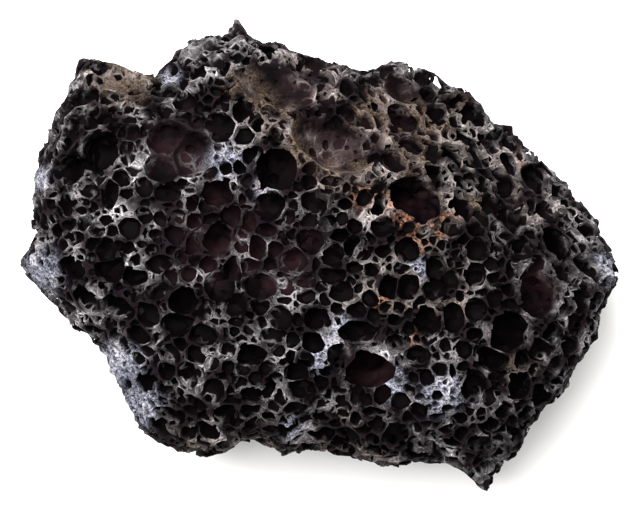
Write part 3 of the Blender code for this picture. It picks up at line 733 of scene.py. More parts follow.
@dataclass
class Blower:
    """Blows bubbles up until they press against each other, and leaves thin walls between them."""

    wall: float = 0.13
    wall_spread: float = 0.6
    open_share: float = 0.30
    window: float = 0.30
    thinnest: float = 0.15
    least_reach: float = 0.01
    rim: float = 0.28
    wobble: float = 0.36
    rigid_wobble: float = 0.12
    wobble_size: float = 1.9
    # The half width up to which a bubble wobbles in waves of that size, and past which they grow with it.
    plain_half: float = 3.0
    corner: float = 16.0
    least_facing: float = 1e-3
    unlimited: float = 1e6
    least_batch: int = 20
    # The half widths past which a bubble is made of finer faces.
    finer_over: tuple = (0.85, 2.4, 5.0)
    # The numbers that turn a pair of bubbles into a fixed chance between 0 and 1.
    chance_mix: tuple = (12.9898, 78.233, 43758.5453)

    def neighbours(self, foam: Foam, index: int) -> tuple[np.ndarray, np.ndarray, np.ndarray]:
        """Find the bubbles that one bubble may press against.

        Args:
            foam: The bubbles.
            index: The bubble's number.

        Returns:
            The neighbours' numbers, the unit vectors towards them and their distances.
        """
        offsets = foam.middles[:foam.count] - foam.middles[index]
        distances = np.sqrt((offsets * offsets).sum(axis=1))
        blown = foam.widest[:foam.count] * foam.swell[:foam.count] * (1.0 + self.wobble)
        near = distances < blown + blown[index] + self.wall
        near[index] = False
        close = np.nonzero(near)[0]
        return close, offsets[close] / distances[close][:, None], distances[close]

    def wall_between(self, index: int, others: np.ndarray) -> np.ndarray:
        """Return the wall's thickness between one bubble and others.

        Args:
            index: The bubble's number.
            others: The other bubbles' numbers.

        Returns:
            An array of thicknesses, negative where the wall has a window.
        """
        low = np.minimum(index, others)
        high = np.maximum(index, others)
        for_low, for_high, stretch = self.chance_mix
        chance = np.abs(np.sin(low * for_low + high * for_high) * stretch) % 1.0
        plain = self.wall * (1.0 + self.wall_spread * (2.0 * chance / (1.0 - self.open_share) - 1.0))
        return np.where(chance > 1.0 - self.open_share, -self.window, plain)

    def radii(self, foam: Foam, index: int, directions: np.ndarray) -> np.ndarray:
        """Return how far one bubble reaches once its neighbours have flattened it.

        Args:
            foam: The bubbles.
            index: The bubble's number.
            directions: An array of unit vectors.

        Returns:
            An array of distances from its middle.
        """
        close, towards, gap = self.neighbours(foam, index)
        turned = directions @ foam.axes[index].T
        free = foam.swell[index] / np.linalg.norm(turned / foam.halves[index], axis=1)
        coarseness = self.wobble_size * max(1.0, foam.widest[index] / self.plain_half)
        places = (foam.middles[index] + directions * free[:, None]) / coarseness
        shake = np.array([noise.noise(Vector(place)) for place in places])
        free = free * (1.0 + (self.rigid_wobble if foam.rigid[index] else self.wobble) * shake)
        if len(close) == 0 or foam.rigid[index]:
            return free
        own = foam.reach(np.full(len(close), index), towards) * foam.swell[index]
        other = foam.reach(close, -towards) * foam.swell[close]
        plane = (gap * gap + own * own - other * other) / (2.0 * gap)
        plane = np.clip(plane, self.thinnest, gap - self.thinnest) - self.wall_between(index, close) / 2.0
        plane = np.where(foam.rigid[close], gap - other - self.rim, plane)
        plane = np.maximum(plane, self.least_reach)
        facing = directions @ towards.T
        limits = plane / np.maximum(facing, self.least_facing)
        limits = np.where(facing > self.least_facing, limits, self.unlimited)
        total = free ** -self.corner + (limits ** -self.corner).sum(axis=1)
        return total ** (-1.0 / self.corner)

    def batches(self, foam: Foam) -> list[np.ndarray]:
        """Split the bubbles so that two with a window between them are in different batches.

        Args:
            foam: The bubbles.

        Returns:
            A list of arrays of bubble numbers, without the last few bubbles that don't fill a batch.
        """
        batch = np.full(foam.count, -1)
        for index in range(foam.count):
            close, _, _ = self.neighbours(foam, index)
            apart = (self.wall_between(index, close) < 0.0) | foam.rigid[close] | foam.rigid[index]
            used = set(batch[close[apart]])
            batch[index] = next(number for number in range(foam.count) if number not in used)
        found = [np.nonzero(batch == number)[0] for number in range(batch.max() + 1)]
        return [chosen for chosen in found if len(chosen) >= self.least_batch or len(found) == 1]

    def cut(self, stone: bpy.types.Object, foam: Foam) -> None:
        """Cut bubbles out of the stone.

        Args:
            stone: The stone's object.
            foam: The bubbles.
        """
        balls = [icosphere(detail + 1) for detail in range(len(self.finer_over) + 1)]
        for chosen in self.batches(foam):
            points = []
            triangles = []
            start = 0
            for index in chosen:
                directions, faces = balls[sum(foam.widest[index] > limit for limit in self.finer_over)]
                reaches = self.radii(foam, index, directions)
                points.append(foam.middles[index] + directions * reaches[:, None])
                triangles.append(faces + start)
                start += len(directions)
            cutter = link_triangles("bubbles", np.concatenate(points), np.concatenate(triangles))
            apply_modifier(stone, "BOOLEAN", operation="DIFFERENCE", solver="MANIFOLD", object=cutter)
            bpy.data.objects.remove(cutter, do_unlink=True)
            LOG.info("cut %d bubbles, %d faces", len(chosen), len(stone.data.polygons))


def patch_share(
    places: np.ndarray, patches: Iterable[tuple], lowest: float = 24.0, rise: float = 12.0
) -> np.ndarray:
    """Say how far places lie inside patches of the crown.

    Args:
        places: An array of places.
        patches: The patches, as (x, y, reach).
        lowest: The height under which no patch shows.
        rise: The height above that over which they come in.

    Returns:
        An array of shares: 1 in the middle of a patch, fading out past its reach.
    """
    share = np.zeros(len(places))
    for x, y, reach in patches:
        distance = np.hypot(places[:, 0] - x, places[:, 1] - y) / reach
        share = np.maximum(share, np.exp(-distance ** 4))
    return share * np.clip((places[:, 2] - lowest) / rise, 0.0, 1.0)


def above_base(middles: np.ndarray, _: np.ndarray) -> np.ndarray:
    """Weigh a carved stone's triangles: 1 above the resting face and 0 on it."""
    return (middles[:, 2] > BASE_MARGIN).astype(float)


def towards_top(_: np.ndarray, normals: np.ndarray) -> np.ndarray:
    """Weigh the body's triangles: more for those that look up."""
    return np.clip(0.35 + normals[:, 2], 0.3, 1.0)


def ridge_distances(
    stone: bpy.types.Object, places: np.ndarray, sharp: float = math.radians(32.0), step: float = 0.3
) -> np.ndarray:
    """Return how far each vertex is from the nearest sharp ridge.

    Args:
        stone: The stone's object.
        places: Its vertices.
        sharp: The angle between two faces past which their edge is a ridge.
        step: The spacing of the points taken along the ridges.

    Returns:
        An array of distances.
    """
    shape = bmesh.new()
    shape.from_mesh(stone.data)
    on_ridge = np.zeros(len(places), dtype=bool)
    points = []
    for edge in shape.edges:
        if edge.is_manifold and edge.calc_face_angle_signed() > sharp:
            start, end = edge.verts
            on_ridge[start.index] = True
            on_ridge[end.index] = True
            count = int(edge.calc_length() / (step * MM))
            points.extend(start.co.lerp(end.co, (k + 1) / (count + 1)) for k in range(count))
            points.append(start.co.copy())
    shape.free()
    tree = KDTree(len(points))
    for number, point in enumerate(points):
        tree.insert(point, number)
    tree.balance()
    return np.array(
        [0.0 if ridged else tree.find(place * MM)[2] / MM for ridged, place in zip(on_ridge, places)]
    )


@dataclass(frozen=True)
class Scoops:
    """Shallow dimples in the larger hollows' walls and floors, with low ridges between them."""

    tries: int = 22000
    widest: float = 2.0
    host_share: float = 0.5
    least: float = 0.2
    size_spread: tuple = (0.5, 1.0)
    rise: float = 0.42
    spacing: float = 0.72
    shape: tuple = (1.0, 0.85, 0.9)
    swell: float = 1.15
    wobble: float = 0.25


@dataclass(frozen=True)
class Pits:
    """Small round pits in the floors of the broad hollows."""

    tries: int = 2500
    smallest: float = 0.25
    size_range: float = 0.6
    size_power: float = 3.0
    sunk: float = 0.25
    listed_sunk: float = 0.2
    spacing: float = 1.25
    shape: tuple = (1.0, 0.9, 0.8)
    wobble: float = 0.3


@dataclass(frozen=True)
class Bites:
    """Pieces broken out of the walls' tops."""

    tries: int = 6000
    depth: float = 1.6
    smallest: float = 0.3
    size_range: float = 0.65
    size_power: float = 1.5
    spacing: float = 1.1
    shape: tuple = (1.0, 0.8, 0.9)
    wobble: float = 0.35


@dataclass
class LavaRock:
    """The whole stone."""

    seed: int = 11
    dish_sunk: float = -0.45
    cell_sunk: float = 0.1
    deep_sunk: float = 0.3
    axis_lean: float = 0.6
    cell_swell: float = 1.34
    listed_room: float = 0.38
    # Bubbles that fill the rest: (half width, tries).
    bubble_sizes: tuple = ((2.7, 1500), (2.0, 4000), (1.5, 9000), (1.1, 14000), (0.8, 20000), (0.55, 26000))
    size_spread: tuple = (0.85, 1.2)
    sink_spread: tuple = (-0.7, 0.25)
    flat_spread: tuple = (0.75, 1.0)
    tall_spread: tuple = (0.85, 1.1)
    closest: float = 0.66
    room_limit: float = 1.2
    growth: float = 1.1
    base_room: float = 0.2
    crust_bubble: float = 0.9
    crust_share: float = 0.5
    roomy_half: float = 1.5
    broad_half: float = 2.9
    host_reach: float = 1.35
    dish_margin: float = 1.12
    dish_shade: float = 0.45
    dish_lip: float = 0.3
    dish_skin: float = 0.7
    broad_face: float = 0.45
    on_ridge: float = 0.05
    wear_size: float = 0.9
    wear: float = 0.13
    fit: float = 0.9998
    triangle_limit: int = 195000
    smooth_angle: float = math.radians(38.0)
    scoops: Scoops = Scoops()
    pits: Pits = Pits()
    bites: Bites = Bites()
    surface: Surface = field(init=False, default=None)
    foam: Foam = field(init=False, default_factory=Foam)
    # Listed cells that open inside another hollow: (x, y, half width).
    leftovers: list = field(init=False, default_factory=list)

    def place_listed(self, x: float, y: float, widths: tuple, turn: float, depth: float, sunk: float) -> None:
        """Add one listed hollow, or keep it for later if it opens inside another.

        Args:
            x: Its place along the block.
            y: Its place across it.
            widths: The two widths of its mouth.
            turn: The heading of the first width, in radians.
            depth: Its depth.
            sunk: How far its middle lies under the surface, as a share of its half height.
        """
        spot, normal = self.surface.spot_below(x, y)
        axis = UP.lerp(normal, self.axis_lean).normalized()
        half = depth / (1.0 + sunk)
        share = math.sqrt(1.0 - sunk * sunk)
        middle = np.array(spot - axis * (half * sunk))
        is_dish = sunk == self.dish_sunk
        if not is_dish and self.foam.room(middle, SKY) < self.listed_room * min(widths) / 2.0:
            self.leftovers.append((x, y, min(widths) / 2.0))
            return
        halves = np.array([widths[0] / 2.0 / share, widths[1] / 2.0 / share, half])
        swell = 1.0 if is_dish else self.cell_swell
        self.foam.add(middle, halves, axes_along(axis, turn), swell, is_dish)

    def place_all_listed(self) -> None:
        """Add the dishes and the listed cells."""
        for x, y, width_x, width_y, turn, depth in DISHES:
            self.place_listed(x, y, (width_x, width_y), math.radians(turn), depth, self.dish_sunk)
        for table in CELL_TABLES:
            sunk = self.deep_sunk if table.depth is Depth.DEEP else self.cell_sunk
            for x, y, width_x, width_y in table.rows:
                depth = table.depth.value * (width_x + width_y) / 2.0
                self.place_listed(x, y, (width_x, width_y), 0.0, depth, sunk)

    def fill(self) -> None:
        """Fill the rest of the surface with bubbles, the largest first."""
        dice = np.random.default_rng(self.seed)
        for size, tries in self.bubble_sizes:
            places, facing = self.surface.random_places(dice, tries, towards_top)
            crust = patch_share(places, PATCHES["crust"])
            for place, normal, crusted in zip(places, facing, crust):
                radius = size * dice.uniform(*self.size_spread)
                middle = place + normal * (dice.uniform(*self.sink_spread) * radius)
                flat = dice.uniform(*self.flat_spread)
                tall = dice.uniform(*self.tall_spread)
                turn = dice.uniform(0.0, math.tau)
                room = self.foam.room(middle, self.room_limit * radius)
                in_crust = crusted > self.crust_share and radius > self.crust_bubble
                if room < self.closest * radius or middle[2] < self.base_room * radius or in_crust:
                    continue
                radius = min(radius, room * self.growth)
                halves = radius * np.array([1.0, flat, tall])
                self.foam.add(middle, halves, axes_along(normal, turn), self.foam.free_swell)
            LOG.info("bubbles of %.1f mm: %d in all", size, self.foam.count)

    def in_dish(self, places: np.ndarray) -> np.ndarray:
        """Say which places lie in a dish or on its lip.

        Args:
            places: An array of places.

        Returns:
            An array that is True there.
        """
        inside = np.zeros(len(places), dtype=bool)
        for index in self.foam.rigid_ones():
            inside |= self.foam.spread(index, places) < self.dish_margin
        return inside

    def host_size(self, middles: np.ndarray, least: float) -> np.ndarray:
        """Say how large a hollow each place lies in.

        Args:
            middles: An array of places.
            least: The least half width of a hollow that counts.

        Returns:
            An array with the hollows' half widths, 0 where there is none.
        """
        size = np.zeros(len(middles))
        smallest = self.foam.halves[:self.foam.count].min(axis=1)
        for index in np.nonzero(smallest > least)[0]:
            reach = self.host_reach * self.foam.widest[index]
            close = np.nonzero((np.abs(middles - self.foam.middles[index]) < reach).all(axis=1))[0]
            inside = close[self.foam.spread(index, middles[close]) < self.host_reach]
            size[inside] = np.maximum(size[inside], smallest[index])
        return size * (middles[:, 2] > BASE_MARGIN)

    def scoop_hollows(self, stone: bpy.types.Object) -> None:
        """Scoop the dimples out of the larger hollows.

        Args:
            stone: The carved stone.
        """
        scoop = self.scoops
        dice = np.random.default_rng(self.seed + 2)
        found = Foam()
        places, facing = Surface(stone).random_places(dice, scoop.tries, above_base)
        hosts = self.host_size(places, self.roomy_half)
        roomy = (hosts > 0.0) & ~self.in_dish(places)
        for place, normal, host in zip(places[roomy], facing[roomy], hosts[roomy]):
            size = min(scoop.widest, scoop.host_share * host + scoop.least)
            radius = dice.uniform(*scoop.size_spread) * size
            middle = place + normal * (scoop.rise * radius)
            if found.room(middle, 2.0 * radius) > scoop.spacing * radius:
                axes = axes_along(normal, dice.uniform(0.0, math.tau))
                found.add(middle, radius * np.array(scoop.shape), axes, scoop.swell)
        LOG.info("%d scoops", found.count)
        Blower(open_share=0.0, wobble=scoop.wobble).cut(stone, found)

    def pit_broad_hollows(self, stone: bpy.types.Object) -> None:
        """Stud the floors of the broad hollows with pits.

        Args:
            stone: The carved stone.
        """
        pit = self.pits
        carved = Surface(stone)
        dice = np.random.default_rng(self.seed + 1)
        found = Foam()
        for x, y, width_x, width_y in INNER_PITS:
            spot, normal = carved.spot_below(x, y)
            half = (width_x + width_y) / 4.0
            halves = np.array([width_x / 2.0, width_y / 2.0, half])
            middle = np.array(spot - normal * (pit.listed_sunk * half))
            found.add(middle, halves, axes_along(normal, 0.0), 1.0)
        for x, y, radius in self.leftovers:
            spot, normal = carved.spot_below(x, y)
            if found.room(np.array(spot), SKY) > radius:
                middle = np.array(spot - normal * (pit.listed_sunk * radius))
                found.add(middle, np.full(3, radius), axes_along(normal, 0.0), 1.0)
        places, facing = carved.random_places(
            dice, pit.tries, lambda middles, _: self.host_size(middles, self.broad_half)
        )
        for place, normal in zip(places, facing):
            radius = pit.smallest + pit.size_range * dice.random() ** pit.size_power
            middle = place - normal * (pit.sunk * radius)
            if found.room(middle, 3.0 * radius) > pit.spacing * radius and self.surface.holds(middle):
                found.add(middle, radius * np.array(pit.shape), axes_along(normal, 0.0), 1.0)
        Blower(open_share=0.0, wobble=pit.wobble).cut(stone, found)

    def bite_walls(self, stone: bpy.types.Object) -> None:
        """Bite small pieces out of the walls between the cells, so that they stand broken and uneven.

        Args:
            stone: The carved stone.
        """
        bite = self.bites
        dice = np.random.default_rng(self.seed + 3)
        found = Foam()
        places, facing = Surface(stone).random_places(dice, bite.tries, above_base)
        for place, normal, spared in zip(places, facing, self.in_dish(places)):
            radius = bite.smallest + bite.size_range * dice.random() ** bite.size_power
            near_top = self.surface.depth(place) < bite.depth * dice.random()
            if near_top and not spared and found.room(place, 2.0 * radius) > bite.spacing * radius:
                axes = axes_along(normal, dice.uniform(0.0, math.tau))
                found.add(place, radius * np.array(bite.shape), axes, 1.0)
        LOG.info("%d bites", found.count)
        Blower(open_share=0.0, wobble=bite.wobble).cut(stone, found)

    def thin_mesh(self, stone: bpy.types.Object) -> None:
        """Thin the stone's mesh down to its triangle limit.

        Args:
            stone: The stone's object.
        """
        apply_modifier(stone, "TRIANGULATE")
        count = len(stone.data.polygons)
        if count > self.triangle_limit:
            apply_modifier(stone, "DECIMATE", ratio=self.triangle_limit / count)
        LOG.info("thinned from %d to %d triangles", count, len(stone.data.polygons))

    def drop_crumbs(self, stone: bpy.types.Object) -> None:
        """Remove what the bubbles cut loose from the stone.

        Args:
            stone: The stone's object.
        """
        mesh = stone.data
        ends = np.empty(len(mesh.edges) * 2, dtype=np.int32)
        mesh.edges.foreach_get("vertices", ends)
        ends = ends.reshape(-1, 2)
        island = np.arange(len(mesh.vertices))
        joined = False
        while not joined:
            lowest = island[ends].min(axis=1)
            lower = island.copy()
            np.minimum.at(lower, island[ends[:, 0]], lowest)
            np.minimum.at(lower, island[ends[:, 1]], lowest)
            lower = lower[lower[island]]
            joined = bool((lower == island).all())
            island = lower
        crumbs = island != np.bincount(island).argmax()
        shape = bmesh.new()
        shape.from_mesh(mesh)
        loose = [vertex for vertex, crumb in zip(shape.verts, crumbs) if crumb]
        bmesh.ops.delete(shape, geom=loose, context="VERTS")
        shape.to_mesh(mesh)
        shape.free()
        LOG.info("crumbs dropped: %d triangles left", len(mesh.polygons))

    def wear_down(self, stone: bpy.types.Object) -> None:
        """Shift the whole skin a little, by a smooth noise, so that no wall stays straight.

        Args:
            stone: The stone's object.
        """
        # Vector noise starts from the clock unless it is given a seed.
        noise.seed_set(self.seed)
        for vertex in stone.data.vertices:
            shift = noise.noise_vector(vertex.co / (self.wear_size * MM))
            vertex.co += shift * (self.wear * MM)

    def broad_tops(self, stone: bpy.types.Object, places: np.ndarray, ridge: np.ndarray) -> np.ndarray:
        """Say which faces are the broad flat top of a wall, with all their corners on ridges.

        Args:
            stone: The stone's object.
            places: Its vertices.
            ridge: The distance of each vertex from the nearest ridge.

        Returns:
            An array with a number for each face: 0 for a narrow one, up to 1 for a broad one.
        """
        corners = np.empty(len(stone.data.polygons) * 3, dtype=np.int32)
        stone.data.polygons.foreach_get("vertices", corners)
        corners = corners.reshape(-1, 3)
        first, second, third = (places[corners[:, k]] for k in range(3))
        doubled = np.linalg.norm(np.cross(second - first, third - first), axis=1)
        sides = [np.linalg.norm(side, axis=1) for side in (first - second, second - third, third - first)]
        width = doubled / np.maximum(np.max(sides, axis=0), TINY)
        ridged = (ridge[corners] < self.on_ridge).all(axis=1)
        return np.where(ridged, np.minimum(width / self.broad_face, 1.0), 0.0)

    def store(self, stone: bpy.types.Object, name: str, values: np.ndarray, domain: str = "POINT") -> None:
        """Store one number for each vertex or face of the stone.

        Args:
            stone: The stone's object.
            name: The attribute's name.
            values: The numbers.
            domain: POINT for vertices or FACE for faces.
        """
        attribute = stone.data.attributes.new(name, "FLOAT", domain)
        attribute.data.foreach_set("value", values.astype(np.float32))

    def mark(self, stone: bpy.types.Object) -> None:
        """Store, on the mesh, how deep it lies, how near a ridge, how far into a dish's floor, and what
        colours and painted shade its patches have.

        Args:
            stone: The stone's object.
        """
        places = vertex_places(stone.data)
        depth = np.array([self.surface.depth(place) for place in places])
        sunk = np.clip(depth - self.dish_lip, 0.0, 1.0)
        floor = np.zeros(len(places))
        # Dish floors count as at least dish_shade deep and get a floor share, so that painted shade darkens
        # them and dims their crests.
        for index in self.foam.rigid_ones():
            offsets = places - self.foam.middles[index]
            distances = np.linalg.norm(offsets, axis=1)
            reach = self.foam.reach(np.full(len(places), index), offsets / distances[:, None])
            from_dish = np.abs(distances - reach)
            depth = np.minimum(depth, from_dish + self.dish_shade)
            floor = np.maximum(floor, sunk * np.exp(-(from_dish / self.dish_skin) ** 2))
        ridge = ridge_distances(stone, places)
        self.store(stone, "floor", floor)
        self.store(stone, "depth", depth)
        self.store(stone, "ridge", ridge)
        self.store(stone, "broad", self.broad_tops(stone, places, ridge), "FACE")
        for name, patches in PATCHES.items():
            self.store(stone, name, patch_share(places, patches))

    def settle(self, stone: bpy.types.Object) -> None:
        """Fit the stone into the box of the node that it stands for, on its base.

        Args:
            stone: The stone's object.
        """
        places = vertex_places(stone.data) * MM
        low, high = (np.array(corner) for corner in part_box(NODE))
        own_low, own_high = places.min(axis=0), places.max(axis=0)
        scale = (high - low) / (own_high - own_low) * self.fit
        own_middle = (own_low + own_high) / 2.0
        shift = (low + high) / 2.0 - own_middle * scale
        shift[2] = low[2] - own_low[2] * scale[2]
        stone.data.transform(Matrix.Translation(Vector(shift)) @ Matrix.Diagonal((*scale, 1.0)))
        LOG.info("scale %s, own size %s, node size %s", scale, own_high - own_low, high - low)

    def build(self) -> bpy.types.Object:
        """Make the stone.

        Returns:
            The stone's object.
        """
        body = Body().build()
        self.surface = Surface(body)
        self.place_all_listed()
        self.fill()
        stone = link_mesh("pitted_stone", body.data.copy())
        Blower().cut(stone, self.foam)
        self.scoop_hollows(stone)
        self.pit_broad_hollows(stone)
        self.bite_walls(stone)
        self.thin_mesh(stone)
        self.drop_crumbs(stone)
        self.wear_down(stone)
        self.mark(stone)
        bpy.data.objects.remove(body, do_unlink=True)
        self.settle(stone)
        pick_only(stone)
        bpy.ops.object.shade_smooth_by_angle(angle=self.smooth_angle)
        return stone


# The marks on the mesh that the stone's pattern, its painted shade and its painted highlights read.
MARKS = ("depth", "ridge", "broad", "floor", "crust", "tan", "rust", "red", "warm", "painted_shade")

# Soft steps of the pattern: (name, what it reads, where it is 1, where it is 0).
STEPS = (
    # The first row falls off with depth below the old surface: its first and last steps paint shade that
    # darkens the cells and dims the crests deeper down; the first also keeps rust near the top.
    ("upper", "depth", 0.0, 0.8), ("skin", "depth", 0.2, 1.5), ("open", "depth", 0.9, 3.6),
    ("clean", "cloud", 0.86, 0.44), ("blush", "cloud", 0.7, 0.3), ("sparkle", "grain", 0.85, 0.25),
    ("dusty", "grain", 0.9, 0.2), ("flecked", "grain", 0.8, 0.3), ("bare", "blotch", 0.6, 0.45),
    # This row dims the crests in painted shade, over the shaded patches and on the dish floors, and keeps
    # them narrow on broad flat tops.
    ("lit", "painted_shade", -0.4, 2.3), ("narrow", "broad", 0.1, 1.7), ("clear_of_dish_shade", "floor", 0.0, 1.35),
    ("edge", "ragged", -0.08, 0.32), ("pinhole", "pores", 0.22, 0.36),
)

# Shares, each the product of its factors: (name, factors).
SHARES = (
    # The first share marks the pale crests: dust on the worn wall tops and painted highlight where their
    # edges catch the light, kept narrow on broad tops and dimmed in painted shade.
    ("crest_dust_and_highlight_share", ("edge", "clean", "open", "lit", "narrow", "clear_of_dish_shade")),
    ("red_share", ("red", "blush")),
    ("painted_depth_shade_share", ("upper", 0.8)),
    ("crust_share", ("crust", "skin", "sparkle", 0.9)),
    ("tan_share", ("tan", "skin", "dusty", 0.5)),
    ("tan_crest_share", ("tan", 0.9)),
    ("rust_share", ("rust", "upper", "flecked", 0.85)),
    ("pinhole_shade_share", ("pinhole", "bare", "skin", 0.85)),
)

# Layers of colour: (name, share of the second colour, first colour, second colour).
LAYERS = (
    # The cell and wall layers are the dark rock in painted shade, darkest deep in the cells.
    ("cell", "red_share", "shaded_cell_colour", "shaded_red_cell_colour"),
    ("wall", "painted_depth_shade_share", "cell", "less_shaded_wall_colour"),
    ("crusted_wall", "crust_share", "wall", "crust_colour"),
    ("tan_wall", "tan_share", "crusted_wall", "tan_colour"),
    ("pale_crest", "warm", "ridge_dust_and_highlight_colour", "warm_ridge_dust_and_highlight_colour"),
    ("tan_crest", "tan_crest_share", "pale_crest", "tan_colour"),
    ("crest_dust_and_highlight", "sparkle", "dull_ridge_dust_and_highlight_colour", "tan_crest"),
    ("stone", "crest_dust_and_highlight_share", "tan_wall", "crest_dust_and_highlight"),
    ("rusty_stone", "rust_share", "stone", "rust_colour"),
    # Pinholes take the dark cell colour: painted shade for holes that the mesh doesn't cut.
    ("basalt", "pinhole_shade_share", "rusty_stone", "cell"),
)


def new_material(name: str) -> bpy.types.Material:
    """Make a material without nodes.

    Args:
        name: Its name.

    Returns:
        The material.
    """
    material = bpy.data.materials.new(name)
    material.use_nodes = True
    material.node_tree.nodes.clear()
    return material


def add_node(
    tree: bpy.types.NodeTree, kind: str, inputs: dict | None = None, **settings: object
) -> bpy.types.Node:
    """Add a node to a node tree.

    Args:
        tree: The node tree.
        kind: The node's type without its ShaderNode prefix.
        inputs: Values or sockets for its inputs, by name or number.
        settings: Values of the node's properties.

    Returns:
        The node.
    """
    node = tree.nodes.new("ShaderNode" + kind)
    for name, value in settings.items():
        setattr(node, name, value)
    for name, value in (inputs or {}).items():
        if isinstance(value, bpy.types.NodeSocket):
            tree.links.new(value, node.inputs[name])
        else:
            node.inputs[name].default_value = value
    return node


@dataclass(frozen=True)
class BasaltFinish:
    """Vesicular basalt: lava that foamed, froze and broke, and then weathered."""

    # Fresh dark rock with painted shade that deepens down its cells: near black, with a maroon cast where its
    # iron has rusted, and less shaded near the top.
    shaded_cell_colour: str = "#040203"
    shaded_red_cell_colour: str = "#1d1013"
    less_shaded_wall_colour: str = "#150f12"
    # Worn wall tops, crushed to a pale powder, with painted highlight where their edges catch the light:
    # greyish between the sparkling grains, cream where weathered.
    dull_ridge_dust_and_highlight_colour: str = "#9c9599"
    ridge_dust_and_highlight_colour: str = "#f8f4f6"
    warm_ridge_dust_and_highlight_colour: str = "#e6d2c0"
    # Silvery bluish skins of the last bubbles, and khaki and rust-brown weathering.
    crust_colour: str = "#a5a7b7"
    tan_colour: str = "#96816f"
    rust_colour: str = "#966a50"
    # Sizes of the pattern in millimetres: sandy grain, dirt in clouds and blotches, and pinholes painted as
    # dark spots of shade.
    grain: float = 0.50
    cloud: float = 6.0
    blotch: float = 1.6
    pore: float = 0.75
    raggedness: float = 0.22
    noise_detail: float = 3.0
    # The grain stands up a little; the foam traps its own gloss, so the whole reads as matt.
    bump_strength: float = 0.35
    bump_height: float = 0.15
    roughness: float = 0.7
    specular: float = 0.03

    def material(self) -> bpy.types.Material:
        """Make the stone's material: dark cells in painted shade, with pale ridges of dust and painted
        highlight.

        Returns:
            The material.
        """
        material = new_material("vesicular_basalt")
        tree = material.node_tree
        place = add_node(tree, "TexCoord").outputs["Object"]
        found = {name: linear(code) for name, code in vars(self).items() if name.endswith("_colour")}
        for name in MARKS:
            found[name] = add_node(tree, "Attribute", attribute_name=name).outputs["Fac"]
        for name, size in (("cloud", self.cloud), ("blotch", self.blotch), ("grain", self.grain)):
            inputs = {"Vector": place, "Scale": 1.0 / (size * MM), "Detail": self.noise_detail}
            found[name] = add_node(tree, "TexNoise", inputs).outputs["Fac"]
        inputs = {"Vector": place, "Scale": 1.0 / (self.pore * MM)}
        found["pores"] = add_node(tree, "TexVoronoi", inputs).outputs["Distance"]
        inputs = {0: found["blotch"], 1: -self.raggedness, 2: found["ridge"]}
        found["ragged"] = add_node(tree, "Math", inputs, operation="MULTIPLY_ADD").outputs[0]
        for name, source, full, gone in STEPS:
            ends = {"From Min": full, "From Max": gone, "To Min": 1.0, "To Max": 0.0}
            inputs = {"Value": found[source], **ends}
            step = add_node(tree, "MapRange", inputs, interpolation_type="SMOOTHSTEP")
            found[name] = step.outputs["Result"]
        for name, (first, *others) in SHARES:
            found[name] = found[first]
            for factor in others:
                inputs = {0: found[name], 1: found.get(factor, factor)}
                found[name] = add_node(tree, "Math", inputs, operation="MULTIPLY").outputs[0]
        for name, share, first, second in LAYERS:
            inputs = {"Factor": found[share], "A": found[first], "B": found[second]}
            found[name] = add_node(tree, "Mix", inputs, data_type="RGBA").outputs["Result"]
        inputs = {"Height": found["grain"], "Strength": self.bump_strength, "Distance": self.bump_height * MM}
        bump = add_node(tree, "Bump", inputs)
        inputs = {
            "Base Color": found["basalt"],
            "Roughness": self.roughness,
            "Specular IOR Level": self.specular,
            "Normal": bump.outputs["Normal"],
            "Metallic": 0.0,
        }
        shader = add_node(tree, "BsdfPrincipled", inputs)
        add_node(tree, "OutputMaterial", {"Surface": shader.outputs["BSDF"]})
        return material


@dataclass(frozen=True)
class FloorFinish:
    """Matt white paint on a studio floor: a warm white that shows nothing but the stone's soft shadow."""

    paint_colour: str = "#f4f3f1"
    roughness: float = 0.9

    def material(self) -> bpy.types.Material:
        """Make the floor's material.

        Returns:
            The material.
        """
        material = new_material("matt_white_paint")
        tree = material.node_tree
        inputs = {"Base Color": linear(self.paint_colour), "Roughness": self.roughness}
        shader = add_node(tree, "BsdfPrincipled", inputs)
        add_node(tree, "OutputMaterial", {"Surface": shader.outputs["BSDF"]})
        return material


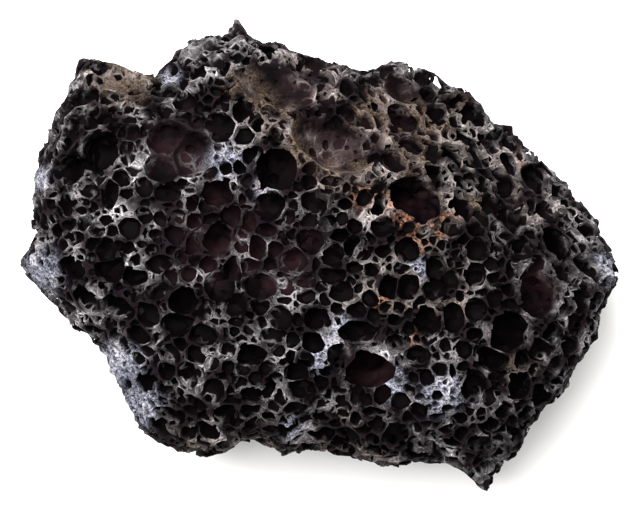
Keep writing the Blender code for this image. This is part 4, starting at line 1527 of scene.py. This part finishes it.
@dataclass(frozen=True)
class Studio:
    """A plain pale floor, soft light and a camera straight above."""

    floor_width: float = 3000.0
    view_width: float = 140.8
    view_rise: float = 0.2
    waist_share: float = 0.37
    lens: float = 200.0
    sensor: float = 36.0
    world_strength: float = 0.83
    key_place: tuple = (-260.0, 320.0, 900.0)
    key_width: float = 800.0
    key_power: float = 31.0

    def floor(self) -> bpy.types.Object:
        """Make the floor.

        Returns:
            The floor's object.
        """
        bpy.ops.mesh.primitive_plane_add(size=self.floor_width * MM)
        floor = bpy.context.object
        floor.name = "floor"
        floor.data.materials.append(FloorFinish().material())
        return floor

    def light(self) -> bpy.types.Object:
        """Make the soft light of the room and the key light at the back left.

        Returns:
            The key light's object.
        """
        world = bpy.data.worlds.new("soft_room")
        world.use_nodes = True
        background = world.node_tree.nodes["Background"]
        background.inputs["Color"].default_value = (1.0, 1.0, 1.0, 1.0)
        background.inputs["Strength"].default_value = self.world_strength
        bpy.context.scene.world = world
        lamp = bpy.data.lights.new("key", "AREA")
        lamp.size = self.key_width * MM
        lamp.energy = self.key_power
        key = bpy.data.objects.new("key", lamp)
        bpy.context.scene.collection.objects.link(key)
        key.location = Vector(self.key_place) * MM
        key.rotation_euler = (-key.location).to_track_quat("-Z", "Y").to_euler()
        return key

    def camera(self) -> bpy.types.Object:
        """Make the camera, straight above the stone.

        Returns:
            The camera's object.
        """
        data = bpy.data.cameras.new("camera")
        data.lens = self.lens
        data.sensor_width = self.sensor
        camera = bpy.data.objects.new("camera", data)
        bpy.context.scene.collection.objects.link(camera)
        low, high = (Vector(corner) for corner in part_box(NODE))
        middle = (low + high) / 2.0
        waist = low.z + self.waist_share * (high.z - low.z)
        distance = self.view_width * MM * self.lens / self.sensor
        camera.location = Vector((middle.x, middle.y + self.view_rise * MM, waist + distance))
        camera.rotation_euler = (0.0, 0.0, 0.0)
        bpy.context.scene.camera = camera
        bpy.context.scene.view_settings.view_transform = "Standard"
        return camera


def main() -> None:
    """Build the stone and the studio around it."""
    logging.basicConfig(level=logging.INFO, format="%(relativeCreated)d ms: %(message)s")
    stone = LavaRock().build()
    stone.data.materials.clear()
    stone.data.materials.append(BasaltFinish().material())
    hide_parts(NODE)
    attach(stone, "root")
    LOG.info("built %s: %d triangles", stone.name, len(stone.data.polygons))
    studio = Studio()
    for piece in (studio.floor(), studio.light(), studio.camera()):
        LOG.info("built %s", piece.name)


if __name__ == "__main__":
    main()
